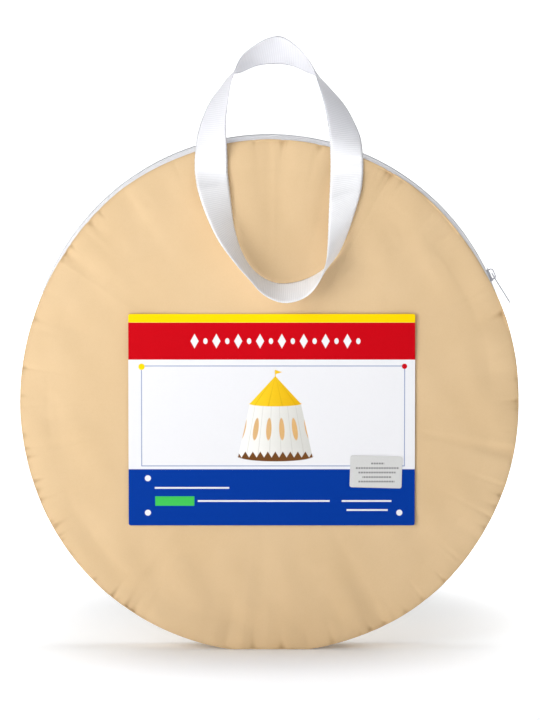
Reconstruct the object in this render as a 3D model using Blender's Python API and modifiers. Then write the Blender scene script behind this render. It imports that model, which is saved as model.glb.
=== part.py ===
# Kids play tent packed in its round zip bag: beige cloth case, white zip, webbing handles,
# printed card, and inside it four folded spring steel hoops with the tent's cloth.
# Metres, +Z up. The bag stands on its lower rim at the origin and its front faces -Y.

import math

import bmesh
import bpy
from mathutils import Matrix, Vector

# Real thicknesses and running gaps
touch_gap = 0.0003
running_gap = 0.00035
cloth_thickness = 0.0008
tape_thickness = 0.0006
webbing_thickness = 0.0012
swing_gap = 0.0008
weld_distance = 0.000001
cut_tolerance = 0.0000001

# The case: an oval drum, flattened where it stands
case_half_width = 0.2058
case_extra_height = 0.0066
case_half_height = case_half_width + case_extra_height
case_floor_press = 0.0026
case_centre_height = case_half_height - case_floor_press
case_seam_half_depth = 0.0200
case_crown = 0.0040
crown_edge_share = 0.82
lower_gusset_dip = 0.0016
seam_gap = 0.0004
panel_collar = 0.0004
rim_steps = 64
shoulder_ring_shares = (1.0, 0.92, 0.6, 0.0)
gusset_row_shares = (-1.0, 0.0, 1.0)

# The zip: its chain follows one circular arc, so that the slider can run along it
zip_side_inset = 0.0064
zip_top_rise = 0.0035
zip_arc_radius = case_half_width - zip_side_inset
zip_arc_centre_height = case_centre_height + case_half_height + zip_top_rise - zip_arc_radius
zip_tape_end_angle = math.radians(13.8)
chain_start_angle = math.radians(15.2)
chain_end_angle = math.radians(159.0)
slider_angle = math.radians(24.6)
fold_share = 0.48
fold_height = zip_arc_centre_height + zip_arc_radius * fold_share
chain_gap = 0.0014
chain_half_width = 0.0029
chain_thickness = 0.0024
chain_spine_width = 0.0011
tooth_pitch = 0.0070
tooth_fill_share = 0.6
tape_flat_half_width = 0.0046
tape_steps = 44
tape_row_shares = (0.0, 0.5, 1.0)
stop_length = 0.0020
stop_rise = 0.0004

# The slider: two wings joined by a thin post, with flanges beside the chain and a bridge on top
slider_length = 0.0120
slider_wide_end = 0.0100
slider_narrow_end = 0.0088
slider_corner = 0.0016
wing_thickness = 0.0010
flange_thickness = 0.0009
post_width = 0.0008
post_length = 0.0040
bridge_length = 0.0096
bridge_rise = 0.0038
bridge_wire = 0.0012

# The puller: a thin plate whose eye hangs on a cross bar under the bridge
puller_direction = math.radians(-58.0)
puller_length = 0.0290
puller_eye_width = 0.0056
puller_neck_width = 0.0036
puller_tip_width = 0.0050
puller_thickness = 0.0012
puller_bar = 0.0013
puller_side = 0.0011
puller_window_length = 0.0062
puller_hole_length = 0.0050

# The webbing handles: one loop stands, one hangs, and both are sewn down at the same two places
webbing_width = 0.0295
tack_width = 0.0270
tack_height = 0.0098
tack_clearance = 0.0005
seam_clearance = 0.0020
guard_slope = 2.0
loop_middle = 0.0081
loop_half_width = 0.0693
hinge_below_top = 0.0162
upper_hinge_height = case_centre_height + case_half_height - hinge_below_top
upper_loop_rise = 0.1015
upper_loop_lean = 0.0020
lower_loop_drop = 0.1058
loop_steps = 3

# Places of the two edges of each loop, as shares of its half width and of its rise or drop.
# The near edge stands towards the front and the far edge lies towards the bag.
upper_loop_shares = (
    ((-0.610, 0.000), (-1.000, 0.000)),
    ((-0.619, 0.179), (-0.976, 0.179)),
    ((-0.625, 0.309), (-0.917, 0.325)),
    ((-0.601, 0.455), (-0.821, 0.472)),
    ((-0.571, 0.586), (-0.714, 0.577)),
    ((-0.512, 0.723), (-0.595, 0.650)),
    ((-0.393, 0.870), (-0.429, 0.707)),
    ((-0.202, 0.976), (-0.250, 0.756)),
    ((0.000, 1.000), (-0.024, 0.773)),
    ((0.179, 0.951), (0.167, 0.752)),
    ((0.321, 0.846), (0.333, 0.699)),
    ((0.417, 0.748), (0.464, 0.650)),
    ((0.470, 0.610), (0.619, 0.569)),
    ((0.512, 0.496), (0.786, 0.439)),
    ((0.560, 0.349), (0.905, 0.292)),
    ((0.595, 0.179), (0.976, 0.162)),
    ((0.610, 0.000), (1.000, 0.000)),
)
lower_loop_shares = (
    ((-1.000, 0.000), (-0.610, 0.000)),
    ((-0.964, 0.126), (-0.589, 0.103)),
    ((-0.869, 0.314), (-0.560, 0.267)),
    ((-0.714, 0.524), (-0.524, 0.438)),
    ((-0.512, 0.704), (-0.440, 0.618)),
    ((-0.345, 0.828), (-0.321, 0.746)),
    ((-0.190, 0.938), (-0.167, 0.828)),
    ((0.012, 1.000), (0.000, 0.864)),
    ((0.202, 0.992), (0.190, 0.856)),
    ((0.357, 0.938), (0.357, 0.821)),
    ((0.452, 0.860), (0.488, 0.774)),
    ((0.512, 0.774), (0.619, 0.704)),
    ((0.554, 0.680), (0.726, 0.610)),
    ((0.571, 0.571), (0.821, 0.470)),
    ((0.583, 0.415), (0.917, 0.282)),
    ((0.595, 0.220), (0.976, 0.142)),
    ((0.610, 0.000), (1.000, 0.000)),
)
lower_loop_clearance = 0.0008

# The printed card and the small sticker on it
card_width = 0.2364
card_height = 0.1752
card_middle = 0.0021
card_below_middle = 0.0182
card_centre_height = case_centre_height - card_below_middle
card_thickness = 0.0006
card_corner = 0.0015
sticker_width = 0.0429
sticker_height = 0.0264
sticker_side_inset = 0.0321
sticker_middle = card_middle + card_width / 2 - sticker_side_inset
sticker_rise = 0.0445
sticker_centre_height = card_centre_height - card_height / 2 + sticker_rise
sticker_turn = math.radians(1.5)
sticker_thickness = 0.0003

# The packed tent: hoops of spring wire in three turns each, round the folded cloth
hoop_count = 4
hoop_turns = 3
hoop_wire = 0.0030
hoop_bundle_radius = 0.0025
hoop_loop_points = 24
hoop_side_room = 0.0065
hoop_floor_gap = 0.0004
hoop_stack_gap = 0.0004
ferrule_length = 0.0180
ferrule_wall = 0.0005
ferrule_clearance = 0.0004
pack_steps = 32
pack_edge_round_share = 0.30
pack_inset_shares = (0, 0.012, 0.12)
roof_pack_thickness = 0.0120
floor_pack_thickness = 0.0090


def clear_scene():
    for old in list(bpy.data.objects):
        bpy.data.objects.remove(old, do_unlink=True)


def new_collection(name):
    made = bpy.data.collections.new(name)
    bpy.context.scene.collection.children.link(made)
    return made


def new_material(name, colour, roughness, metallic=0.0):
    made = bpy.data.materials.new(name)
    made.use_nodes = True
    shader = made.node_tree.nodes["Principled BSDF"]
    shader.inputs["Base Color"].default_value = (*colour, 1.0)
    shader.inputs["Roughness"].default_value = roughness
    shader.inputs["Metallic"].default_value = metallic
    return made


def add_mesh(name, mesh, material):
    made = bpy.data.objects.new(name, mesh)
    made.data.materials.clear()
    made.data.materials.append(material)
    parts.objects.link(made)
    return made


def link_curve(name, spline_points, cyclic=False, kind="3D"):
    data = bpy.data.curves.new(name, "CURVE")
    data.dimensions = kind
    spline = data.splines.new("POLY")
    spline.points.add(len(spline_points) - 1)
    for point, place in zip(spline.points, spline_points):
        point.co = (*place, 1.0)
    spline.use_cyclic_u = cyclic
    made = bpy.data.objects.new(name, data)
    parts.objects.link(made)
    return made


def mesh_from(source, name, material):
    """The evaluated shape of a curve, welded, as a mesh object in the same place."""
    bpy.context.view_layer.update()
    shape = source.evaluated_get(bpy.context.evaluated_depsgraph_get())
    mesh = bpy.data.meshes.new_from_object(shape)
    work = bmesh.new()
    work.from_mesh(mesh)
    bmesh.ops.remove_doubles(work, verts=work.verts, dist=weld_distance)
    bmesh.ops.recalc_face_normals(work, faces=work.faces)
    work.to_mesh(mesh)
    work.free()
    made = add_mesh(name, mesh, material)
    made.matrix_world = source.matrix_world.copy()
    bpy.data.objects.remove(source, do_unlink=True)
    return made


def round_shading(mesh, angle=math.radians(40)):
    mesh.shade_smooth()
    mesh.set_sharp_from_angle(angle=angle)


def loft(name, rows, material, closed=False):
    """An open cloth surface through rows of points; a row of one point closes it at a pole."""
    work = bmesh.new()
    grid = [[work.verts.new(point) for point in row] for row in rows]
    for row, following in zip(grid, grid[1:]):
        count = len(row)
        last = count if closed else count - 1
        for step in range(last):
            after = (step + 1) % count
            if len(following) == 1:
                work.faces.new((row[step], row[after], following[0]))
            else:
                work.faces.new((row[step], row[after], following[after], following[step]))
    mesh = bpy.data.meshes.new(name)
    work.to_mesh(mesh)
    work.free()
    mesh.shade_smooth()
    return add_mesh(name, mesh, material)


def thicken(item, thickness, offset=-1.0):
    shell = item.modifiers.new("Solidify", "SOLIDIFY")
    shell.thickness = thickness
    shell.offset = offset
    shell.use_even_offset = False
    return item


def keep_side(item, height, above):
    """Cuts an open surface at a level and keeps what is above it, or below it."""
    work = bmesh.new()
    work.from_mesh(item.data)
    bmesh.ops.bisect_plane(
        work,
        geom=work.verts[:] + work.edges[:] + work.faces[:],
        dist=cut_tolerance,
        plane_co=(0, 0, height),
        plane_no=(0, 0, 1),
        clear_outer=not above,
        clear_inner=above,
    )
    work.to_mesh(item.data)
    work.free()


def box(name, size, centre, material):
    work = bmesh.new()
    bmesh.ops.create_cube(work, size=1.0)
    bmesh.ops.scale(work, vec=size, verts=work.verts)
    bmesh.ops.translate(work, vec=centre, verts=work.verts)
    mesh = bpy.data.meshes.new(name)
    work.to_mesh(mesh)
    work.free()
    return add_mesh(name, mesh, material)


def bevel(item, width, segments=2):
    edge = item.modifiers.new("Bevel", "BEVEL")
    edge.width = width
    edge.segments = segments
    edge.limit_method = "ANGLE"
    return item


def combine(item, other, operation="UNION"):
    """Joins or cuts a mesh with another, and keeps the result as plain mesh."""
    join = item.modifiers.new("Boolean", "BOOLEAN")
    join.operation = operation
    join.solver = "EXACT"
    join.object = other
    bpy.context.view_layer.update()
    shape = item.evaluated_get(bpy.context.evaluated_depsgraph_get())
    mesh = bpy.data.meshes.new_from_object(shape)
    item.modifiers.clear()
    item.data = mesh
    bpy.data.objects.remove(other, do_unlink=True)
    return item


def smooth_path(points, steps):
    """Points on a smooth curve through the given ones."""
    places = [Vector(point) for point in points]
    ends = [2 * places[0] - places[1]] + places + [2 * places[-1] - places[-2]]
    path = []
    for index in range(1, len(ends) - 2):
        before, here, after, beyond = ends[index - 1 : index + 3]
        for step in range(steps):
            t = step / steps
            path.append(
                0.5
                * (
                    2 * here
                    + (after - before) * t
                    + (2 * before - 5 * here + 4 * after - beyond) * t * t
                    + (3 * here - before - 3 * after + beyond) * t * t * t
                )
            )
    path.append(places[-1])
    return path


def rim_point(direction, inset=0.0):
    """A point (x, z) on the case's oval, seen from its centre, flattened at the floor."""
    half_width = case_half_width - inset
    half_height = case_half_height - inset
    reach = half_width * half_height / math.hypot(
        half_height * math.cos(direction), half_width * math.sin(direction)
    )
    x = reach * math.cos(direction)
    z = case_centre_height + reach * math.sin(direction)
    return x, max(z, 0)


def shoulder_depth(fall):
    """A panel's depth over its shoulder, from its flat middle (0) to its seam (1)."""
    collar_depth = case_seam_half_depth + seam_gap / 2 + panel_collar
    face = case_seam_half_depth + case_crown
    return collar_depth + (face - collar_depth) * math.sqrt(1 - fall * fall)


def panel_depth(x, z):
    """How far the outer face of a panel stands from the middle plane at a place on it."""
    share = math.hypot(x / case_half_width, (z - case_centre_height) / case_half_height)
    fall = (share - crown_edge_share) / (1 - crown_edge_share)
    return shoulder_depth(min(max(fall, 0), 1))


def panel_rows(side):
    """Rows of a panel's outer face from its seam to its middle; side is -1 front, 1 rear."""
    places = [(1.0, case_seam_half_depth + seam_gap / 2)]
    for fall in shoulder_ring_shares:
        places.append((crown_edge_share + (1 - crown_edge_share) * fall, shoulder_depth(fall)))
    rows = []
    for share, depth in places:
        row = []
        for step in range(rim_steps):
            x, z = rim_point(2 * math.pi * step / rim_steps)
            z = case_centre_height + (z - case_centre_height) * share
            row.append((x * share, side * depth, z))
        rows.append(row)
    rows.append([(0, side * (case_seam_half_depth + case_crown), case_centre_height)])
    if side > 0:
        rows = [row[::-1] for row in rows]
    return rows


def make_front_panel():
    return thicken(loft("front_panel", panel_rows(-1), cloth, closed=True), cloth_thickness)


def make_rear_panel():
    lower = loft("rear_panel", panel_rows(1), cloth, closed=True)
    keep_side(lower, fold_height - touch_gap / 2, above=False)
    flap = loft("rear_flap", panel_rows(1), cloth, closed=True)
    keep_side(flap, fold_height + touch_gap / 2, above=True)
    thicken(lower, cloth_thickness)
    thicken(flap, cloth_thickness)
    set_origin(flap, fold_axis)
    return lower, flap


def set_origin(item, place):
    """Moves an object's origin to a place without moving its shape."""
    shift = Vector(place) - item.location
    item.data.transform(Matrix.Translation(-shift))
    item.location = Vector(place)


def arc_point(angle, rise=0.0):
    """A point (x, z) on the zip's arc, or a rise above it."""
    x = (zip_arc_radius + rise) * math.cos(angle)
    z = zip_arc_centre_height + (zip_arc_radius + rise) * math.sin(angle)
    return x, z


def make_lower_gusset():
    """The cloth strip that runs round the bottom, from one end of the zip to the other."""
    end_x, end_z = arc_point(zip_tape_end_angle)
    first = math.atan2(end_z - case_centre_height, end_x) - seam_gap / case_half_width
    turn = math.pi + 2 * first
    rows = []
    for share in gusset_row_shares:
        row = []
        for step in range(rim_steps + 1):
            direction = first - turn * step / rim_steps
            dip = lower_gusset_dip * (1 + math.sin(direction)) / (1 + math.sin(first))
            x, z = rim_point(direction, dip * (1 - share * share))
            row.append((x, share * (case_seam_half_depth - seam_gap / 2), z))
        rows.append(row)
    return thicken(loft("lower_gusset", rows, cloth), cloth_thickness)


def tape_rows(side, first, last):
    """Rows of one zip tape from beside the chain to the seam of its panel."""
    inner = chain_half_width + touch_gap
    outer = case_seam_half_depth - seam_gap / 2
    rows = []
    for across in (inner,) + tuple(
        tape_flat_half_width + (outer - tape_flat_half_width) * share
        for share in tape_row_shares
    ):
        fall = max((across - tape_flat_half_width) / (outer - tape_flat_half_width), 0)
        row = []
        for step in range(tape_steps + 1):
            x, z = arc_point(first + (last - first) * step / tape_steps, tape_thickness / 2)
            seam_x, seam_z = rim_point(math.atan2(z - case_centre_height, x))
            x += (seam_x - x) * fall * fall
            z += (seam_z - z) * fall * fall
            row.append((x, side * across, z))
        rows.append(row)
    if side > 0:
        rows = [row[::-1] for row in rows]
    return rows


def make_front_tape():
    rows = tape_rows(-1, zip_tape_end_angle, math.pi - zip_tape_end_angle)
    return thicken(loft("front_zip_tape", rows, tape_cloth), tape_thickness)


def make_rear_tapes():
    flap_tape = loft(
        "rear_zip_tape",
        tape_rows(1, zip_tape_end_angle, math.pi - zip_tape_end_angle),
        tape_cloth,
    )
    keep_side(flap_tape, fold_height + touch_gap / 2, above=True)
    thicken(flap_tape, tape_thickness)
    set_origin(flap_tape, fold_axis)
    quarter = math.pi / 2
    right = loft(
        "rear_zip_tape_right_end", tape_rows(1, zip_tape_end_angle, quarter), tape_cloth
    )
    left = loft(
        "rear_zip_tape_left_end",
        tape_rows(1, quarter, math.pi - zip_tape_end_angle),
        tape_cloth,
    )
    for end in (right, left):
        keep_side(end, fold_height - touch_gap / 2, above=False)
        thicken(end, tape_thickness)
    return flap_tape, right, left


def chain_half(name, side, first, last):
    """One half of the zip chain: a spine along the tape's edge with teeth to the middle."""
    tooth_turn = tooth_pitch / zip_arc_radius
    count = max(int((last - first) / tooth_turn), 1)
    turn = (last - first) / count
    spine = chain_half_width - chain_spine_width
    tip = chain_gap / 2
    low = -chain_thickness / 2
    high = chain_thickness / 2
    outline = []
    for index in range(count):
        start = first + index * turn
        rise = start + turn * (1 - tooth_fill_share) / 2
        fall = rise + turn * tooth_fill_share
        if index == 0:
            outline.append((start, spine))
        if fall < last:
            outline += [(rise, spine), (rise, tip), (fall, tip), (fall, spine)]
    outline.append((last, spine))
    rows = []
    for across_edge, level in ((True, high), (False, high), (False, low), (True, low)):
        row = []
        for angle, across in outline:
            x, z = arc_point(angle, level)
            row.append((x, side * (across if across_edge else chain_half_width), z))
        rows.append(row)
    work = bmesh.new()
    grid = [[work.verts.new(point) for point in row] for row in rows]
    for index, row in enumerate(grid):
        following = grid[(index + 1) % len(grid)]
        for step in range(len(row) - 1):
            work.faces.new((row[step], row[step + 1], following[step + 1], following[step]))
    work.faces.new([row[0] for row in grid])
    work.faces.new([row[-1] for row in grid[::-1]])
    bmesh.ops.recalc_face_normals(work, faces=work.faces)
    mesh = bpy.data.meshes.new(name)
    work.to_mesh(mesh)
    work.free()
    return add_mesh(name, mesh, zip_plastic)


def fold_angle(offset):
    """The angle on the zip's arc at the fold's level, plus or minus a small offset."""
    return math.asin((fold_height + offset - zip_arc_centre_height) / zip_arc_radius)


def make_chains():
    edge = touch_gap + chain_thickness / 2
    above = fold_angle(edge)
    below = fold_angle(-edge)
    chain_half("front_zip_chain", -1, chain_start_angle, chain_end_angle)
    moving = chain_half("rear_zip_chain", 1, above, math.pi - above)
    set_origin(moving, fold_axis)
    chain_half("rear_zip_chain_right_end", 1, chain_start_angle, below)
    chain_half("rear_zip_chain_left_end", 1, math.pi - below, chain_end_angle)


def make_stop(name, angle, low, high):
    """A small metal stop clamped at the end of the chain, from one depth to another."""
    height = chain_thickness + 2 * stop_rise
    stop = box(name, (stop_length, high - low, height), (0, (low + high) / 2, zip_arc_radius), metal)
    bevel(stop, stop_rise, segments=1)
    stop.location = (0, 0, zip_arc_centre_height)
    stop.rotation_euler = (0, math.pi / 2 - angle, 0)
    return stop


def make_stops():
    reach = (stop_length / 2 + touch_gap) / zip_arc_radius
    inner = chain_gap / 2
    right = chain_start_angle - reach
    make_stop("front_zip_stop", right, -chain_half_width, -inner)
    make_stop("rear_zip_stop", right, inner, chain_half_width)
    make_stop("zip_bottom_stop", chain_end_angle + reach, -chain_half_width, chain_half_width)


def wing_outline():
    """The slider's plan, wide at its mouth and narrower where the closed chain leaves it."""
    half = slider_length / 2
    wide = slider_wide_end / 2
    narrow = slider_narrow_end / 2
    cut = slider_corner
    side = [(half - cut, wide), (half, wide - cut)]
    tail = [(-half, narrow - cut), (-half + cut, narrow)]
    upper = tail + side
    return upper + [(x, -y) for x, y in upper[::-1]]


def flat_plate(name, outline, low, high, material):
    plate = link_curve(name + "_outline", [(x, y, 0) for x, y in outline], True, "2D")
    plate.data.fill_mode = "BOTH"
    plate.data.extrude = (high - low) / 2
    plate.location = (0, 0, (high + low) / 2)
    made = mesh_from(plate, name, material)
    made.data.transform(made.matrix_world)
    made.matrix_world = Matrix.Identity(4)
    return made


def make_slider():
    channel = chain_thickness / 2 + running_gap
    top = channel + wing_thickness
    body = flat_plate("slider_body", wing_outline(), channel, top, metal)
    lower = flat_plate("slider_lower_wing", wing_outline(), -top, -channel, metal)
    post = box(
        "slider_post",
        (post_length, post_width, 2 * channel + wing_thickness),
        (slider_length / 2 - post_length / 2 - slider_corner / 2, 0, 0),
        metal,
    )
    combine(body, post)
    combine(body, lower)
    slot = tape_thickness / 2 + running_gap
    beside = chain_half_width + running_gap
    flange_length = slider_length - 2 * slider_corner
    for side in (-1, 1):
        for level in (-1, 1):
            reach = (channel + wing_thickness / 2) - slot
            flange = box(
                "slider_flange",
                (flange_length, flange_thickness, reach),
                (0, side * (beside + flange_thickness / 2), level * (slot + reach / 2)),
                metal,
            )
            combine(body, flange)
    wire = bridge_wire / 2
    half = bridge_length / 2 - wire
    foot = top - wing_thickness / 2
    height = top + bridge_rise - wire
    corner = bridge_rise / 2
    path = [(-half, 0, foot)]
    for step in range(5):
        lift = math.pi / 2 * step / 4
        path.append(
            (-half + corner * (1 - math.cos(lift)), 0, height - corner * (1 - math.sin(lift)))
        )
    path += [(-x, y, z) for x, y, z in path[::-1]]
    bridge_curve = link_curve("bridge_path", path)
    bridge_curve.data.bevel_depth = wire
    bridge_curve.data.bevel_resolution = 2
    bridge_curve.data.use_fill_caps = True
    combine(body, mesh_from(bridge_curve, "bridge", metal))
    body.data.transform(Matrix.Translation((0, 0, zip_arc_radius)))
    round_shading(body.data)
    body.location = (0, 0, zip_arc_centre_height)
    body.rotation_euler = (0, math.pi / 2 - slider_angle, 0)
    return body


def puller_pivot():
    """The middle of the puller's cross bar, under the slider's bridge."""
    top = chain_thickness / 2 + running_gap + wing_thickness
    rise = top + (bridge_rise - bridge_wire) / 2
    x, z = arc_point(slider_angle, rise)
    return x, 0, z


def make_puller():
    bar = puller_bar / 2
    eye = puller_eye_width / 2
    neck = puller_neck_width / 2
    tip = puller_tip_width / 2
    window_end = bar + puller_window_length
    neck_start = window_end + puller_side
    outline = [(-bar, -eye + bar), (-bar, eye - bar), (0, eye), (window_end, eye)]
    outline += [(neck_start, neck), (neck_start + neck, neck)]
    outline += [(puller_length - tip, tip), (puller_length - bar, tip / 2)]
    mirrored = [(x, -y) for x, y in outline[:1:-1]]
    plate = link_curve("puller_outline", [(x, y, 0) for x, y in outline + mirrored], True, "2D")
    inner = eye - puller_side
    hole_end = puller_length - tip / 2 - puller_side
    hole = neck - puller_side / 2
    for window in (
        ((bar, -inner), (bar, inner), (window_end, inner), (window_end, -inner)),
        (
            (hole_end - puller_hole_length, -hole),
            (hole_end - puller_hole_length, hole),
            (hole_end, hole),
            (hole_end, -hole),
        ),
    ):
        spline = plate.data.splines.new("POLY")
        spline.points.add(len(window) - 1)
        for point, (x, y) in zip(spline.points, window):
            point.co = (x, y, 0, 1.0)
        spline.use_cyclic_u = True
    plate.data.fill_mode = "BOTH"
    plate.data.extrude = puller_thickness / 2
    made = mesh_from(plate, "zip_puller", metal)
    made.location = puller_pivot()
    made.rotation_euler = (0, -puller_direction, 0)
    return made


def webbing_edges(shares, drop, level, placement):
    """Rows along the near edge, the middle and the far edge of a loop of webbing."""
    near = []
    far = []
    for place_near, place_far in shares:
        near.append(Vector((loop_middle + loop_half_width * place_near[0], 0, 0)))
        near[-1].z = level + drop * place_near[1]
        far.append(Vector((loop_middle + loop_half_width * place_far[0], 0, 0)))
        far[-1].z = level + drop * place_far[1]
    near = smooth_path(near, loop_steps)
    far = smooth_path(far, loop_steps)
    rows = [[], [], []]
    for index, (one, other) in enumerate(zip(near, far)):
        seen = (one - other).length
        end_share = min(index, len(near) - 1 - index) / loop_steps
        width = tack_width + (webbing_width - tack_width) * min(end_share, 1)
        turned = math.sqrt(max(width * width - seen * seen, 0)) * min(end_share, 1)
        one.y, other.y = placement(one, other, turned)
        rows[0].append(one)
        rows[1].append((one + other) / 2)
        rows[2].append(other)
    return rows


def tack_depth(x, z):
    """The depth of the middle of a strap that lies sewn on the front panel."""
    return panel_depth(x, min(z, seam_level(x))) + tack_clearance + webbing_thickness / 2


def seam_level(x):
    """The height of the front seam above a place along the width."""
    share = math.sqrt(1 - (x / case_half_width) ** 2)
    return case_centre_height + case_half_height * share


def place_upper(near, far, turned):
    """The standing loop turns about its middle line, and its far edge clears the seam."""
    lean = upper_loop_lean * (1 + (far.z - upper_hinge_height) / upper_loop_rise)
    middle = tack_depth((near.x + far.x) / 2, upper_hinge_height) + lean
    above = max(far.z - seam_level(far.x) - seam_clearance, 0)
    guard = tack_depth(far.x, far.z) - above * guard_slope
    depth = max(middle - turned / 2, guard)
    if turned == 0:
        depth = guard
    return -max(depth + turned, tack_depth(near.x, near.z)), -depth


def place_lower(near, far, turned):
    """The hanging loop's far edge lies close to the panel and its near edge stands off."""
    depth = tack_depth(far.x, far.z)
    if turned > 0:
        depth += lower_loop_clearance
    return -max(depth + turned, tack_depth(near.x, near.z)), -depth


def strap(name, rows, origin):
    made = loft(name, rows, webbing)
    thicken(made, webbing_thickness, offset=0.0)
    set_origin(made, origin)
    return made


def make_handles():
    gap = touch_gap / 2
    level = upper_hinge_height + swing_gap
    rows = webbing_edges(upper_loop_shares, upper_loop_rise, level, place_upper)
    strap("upper_handle_loop", rows, upper_axis)
    lower_level = upper_hinge_height - tack_height - swing_gap
    rows = webbing_edges(lower_loop_shares, -lower_loop_drop, lower_level, place_lower)
    strap("lower_handle_loop", rows, lower_axis)
    for name, side in (("handle_tack_left", -1), ("handle_tack_right", 1)):
        outer = loop_middle + side * loop_half_width
        inner = outer - side * tack_width
        start = min(outer, inner)
        rows = []
        for down in (0, 0.5, 1):
            z = upper_hinge_height - gap - (tack_height - 2 * gap) * down
            row = []
            for step in range(5):
                x = start + tack_width * step / 4
                row.append((x, -tack_depth(x, z), z))
            rows.append(row)
        thicken(loft(name, rows, webbing), webbing_thickness, offset=0.0)


def rounded_card(name, width, height, thickness, corner, material):
    half_width = width / 2
    half_height = height / 2
    outline = []
    for quarter, (side, up) in enumerate(((1, 1), (-1, 1), (-1, -1), (1, -1))):
        for step in range(3):
            angle = math.pi / 2 * (quarter + step / 2)
            x = side * (half_width - corner) + corner * math.cos(angle)
            y = up * (half_height - corner) + corner * math.sin(angle)
            outline.append((x, y))
    return flat_plate(name, outline, 0, thickness, material)


def make_card():
    face = case_seam_half_depth + case_crown
    card = rounded_card("label_card", card_width, card_height, card_thickness, card_corner, print_card)
    card.rotation_euler = (math.pi / 2, 0, 0)
    card.location = (card_middle, -(face + touch_gap), card_centre_height)
    sticker = rounded_card(
        "label_sticker", sticker_width, sticker_height, sticker_thickness, card_corner, paper
    )
    sticker.rotation_euler = (math.pi / 2, sticker_turn, 0)
    depth = face + card_thickness + 2 * touch_gap
    sticker.location = (sticker_middle, -depth, sticker_centre_height)


def hoop_axes():
    """Half width, half height and centre height of the hoops' middle line."""
    reach = hoop_bundle_radius + hoop_wire / 2
    half_width = case_half_width - hoop_side_room - reach
    half_height = case_half_height - hoop_side_room - reach
    centre = cloth_thickness + hoop_floor_gap + reach + half_height
    return half_width, half_height, centre


def hoop_pitch():
    return 2 * hoop_bundle_radius + hoop_wire + hoop_stack_gap


def hoop_point(travel, phase, depth):
    """A point on a closed hoop that goes round hoop_turns times before it meets itself."""
    half_width, half_height, centre = hoop_axes()
    across = travel / hoop_turns
    swell = hoop_bundle_radius * math.cos(across)
    angle = travel + phase
    x = (half_width + swell) * math.cos(angle)
    z = centre + (half_height + swell) * math.sin(angle)
    return Vector((x, depth + hoop_bundle_radius * math.sin(across), z))


def make_hoops():
    steps = hoop_turns * hoop_loop_points
    least = hoop_wire
    for index in range(hoop_count):
        depth = hoop_pitch() * (index - (hoop_count - 1) / 2)
        phase = 2 * math.pi * index / hoop_count
        travel = [2 * math.pi * step / hoop_loop_points for step in range(steps)]
        points = [hoop_point(place, phase, depth) for place in travel]
        hoop = link_curve(f"wall_hoop_{index + 1}", points, cyclic=True)
        hoop.data.bevel_depth = hoop_wire / 2
        hoop.data.bevel_resolution = 1
        hoop.data.materials.append(steel)
        least = min(least, self_gap(points))
        middle = steps // 2
        make_ferrule(index, points[middle], points[middle + 1])
    print(f"least gap of a hoop to itself: {least * 1000:.2f} mm")
    length = sum((a - b).length for a, b in zip(points, points[1:] + points[:1]))
    print(f"wire in one hoop: {length:.3f} m")


def self_gap(points):
    """The least gap between neighbouring turns of a hoop, measured on its own points."""
    turn = hoop_loop_points
    gaps = []
    for index, point in enumerate(points):
        for neighbour in (turn - 1, turn, turn + 1):
            other = points[(index + neighbour) % len(points)]
            after = points[(index + neighbour + 1) % len(points)]
            along = after - other
            share = max(0, min(1, (point - other).dot(along) / along.length_squared))
            gaps.append((point - other - along * share).length - hoop_wire)
    return min(gaps)


def make_ferrule(index, near, far):
    """The short tube that joins a hoop's two ends, on the innermost turn."""
    bore = hoop_wire / 2 + ferrule_clearance
    outer = bore + ferrule_wall
    half = ferrule_length / 2
    work = bmesh.new()
    profile = [(outer, half), (outer, -half), (bore, -half), (bore, half)]
    verts = [work.verts.new((x, 0, z)) for x, z in profile]
    for one, other in zip(verts, verts[1:] + verts[:1]):
        work.edges.new((one, other))
    mesh = bpy.data.meshes.new("ferrule")
    work.to_mesh(mesh)
    work.free()
    tube = add_mesh(f"hoop_ferrule_{index + 1}", mesh, metal)
    screw = tube.modifiers.new("Screw", "SCREW")
    screw.steps = 10
    screw.render_steps = 10
    screw.use_merge_vertices = True
    screw.merge_threshold = weld_distance
    tube.rotation_euler = (far - near).to_track_quat("Z", "Y").to_euler()
    tube.location = (near + far) / 2
    return tube


def make_pack(name, front, back, material):
    """A folded layer of tent cloth: an oval cushion between two depths, clear of the panels."""
    half_width, half_height, centre = hoop_axes()
    room = hoop_bundle_radius + hoop_wire / 2 + ferrule_clearance + ferrule_wall + touch_gap
    room += half_height * (1 - math.cos(math.pi / hoop_loop_points))
    soft = (back - front) * pack_edge_round_share
    rings = []
    for start, into, insets in ((front, 1, pack_inset_shares[::-1]), (back, -1, pack_inset_shares)):
        for inset in insets:
            ring = []
            for step in range(pack_steps):
                angle = 2 * math.pi * step / pack_steps
                x = (half_width - room) * (1 - inset) * math.cos(angle)
                z = centre + (half_height - room) * (1 - inset) * math.sin(angle)
                limit = panel_depth(x, z) - cloth_thickness - touch_gap
                depth = max(min(start, limit), -limit)
                if inset == 0:
                    depth = start + into * soft
                ring.append((x, depth, z))
            rings.append(ring)
    rings = [[(0, front, centre)]] + rings + [[(0, back, centre)]]
    return closed_loft(name, rings, material)


def closed_loft(name, rings, material):
    work = bmesh.new()
    grid = [[work.verts.new(point) for point in ring] for ring in rings]
    for ring, following in zip(grid, grid[1:]):
        count = max(len(ring), len(following))
        for step in range(count):
            after = (step + 1) % count
            if len(ring) == 1:
                work.faces.new((ring[0], following[after], following[step]))
            elif len(following) == 1:
                work.faces.new((ring[step], ring[after], following[0]))
            else:
                work.faces.new((ring[step], ring[after], following[after], following[step]))
    bmesh.ops.recalc_face_normals(work, faces=work.faces)
    mesh = bpy.data.meshes.new(name)
    work.to_mesh(mesh)
    work.free()
    mesh.shade_smooth()
    return add_mesh(name, mesh, material)


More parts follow.
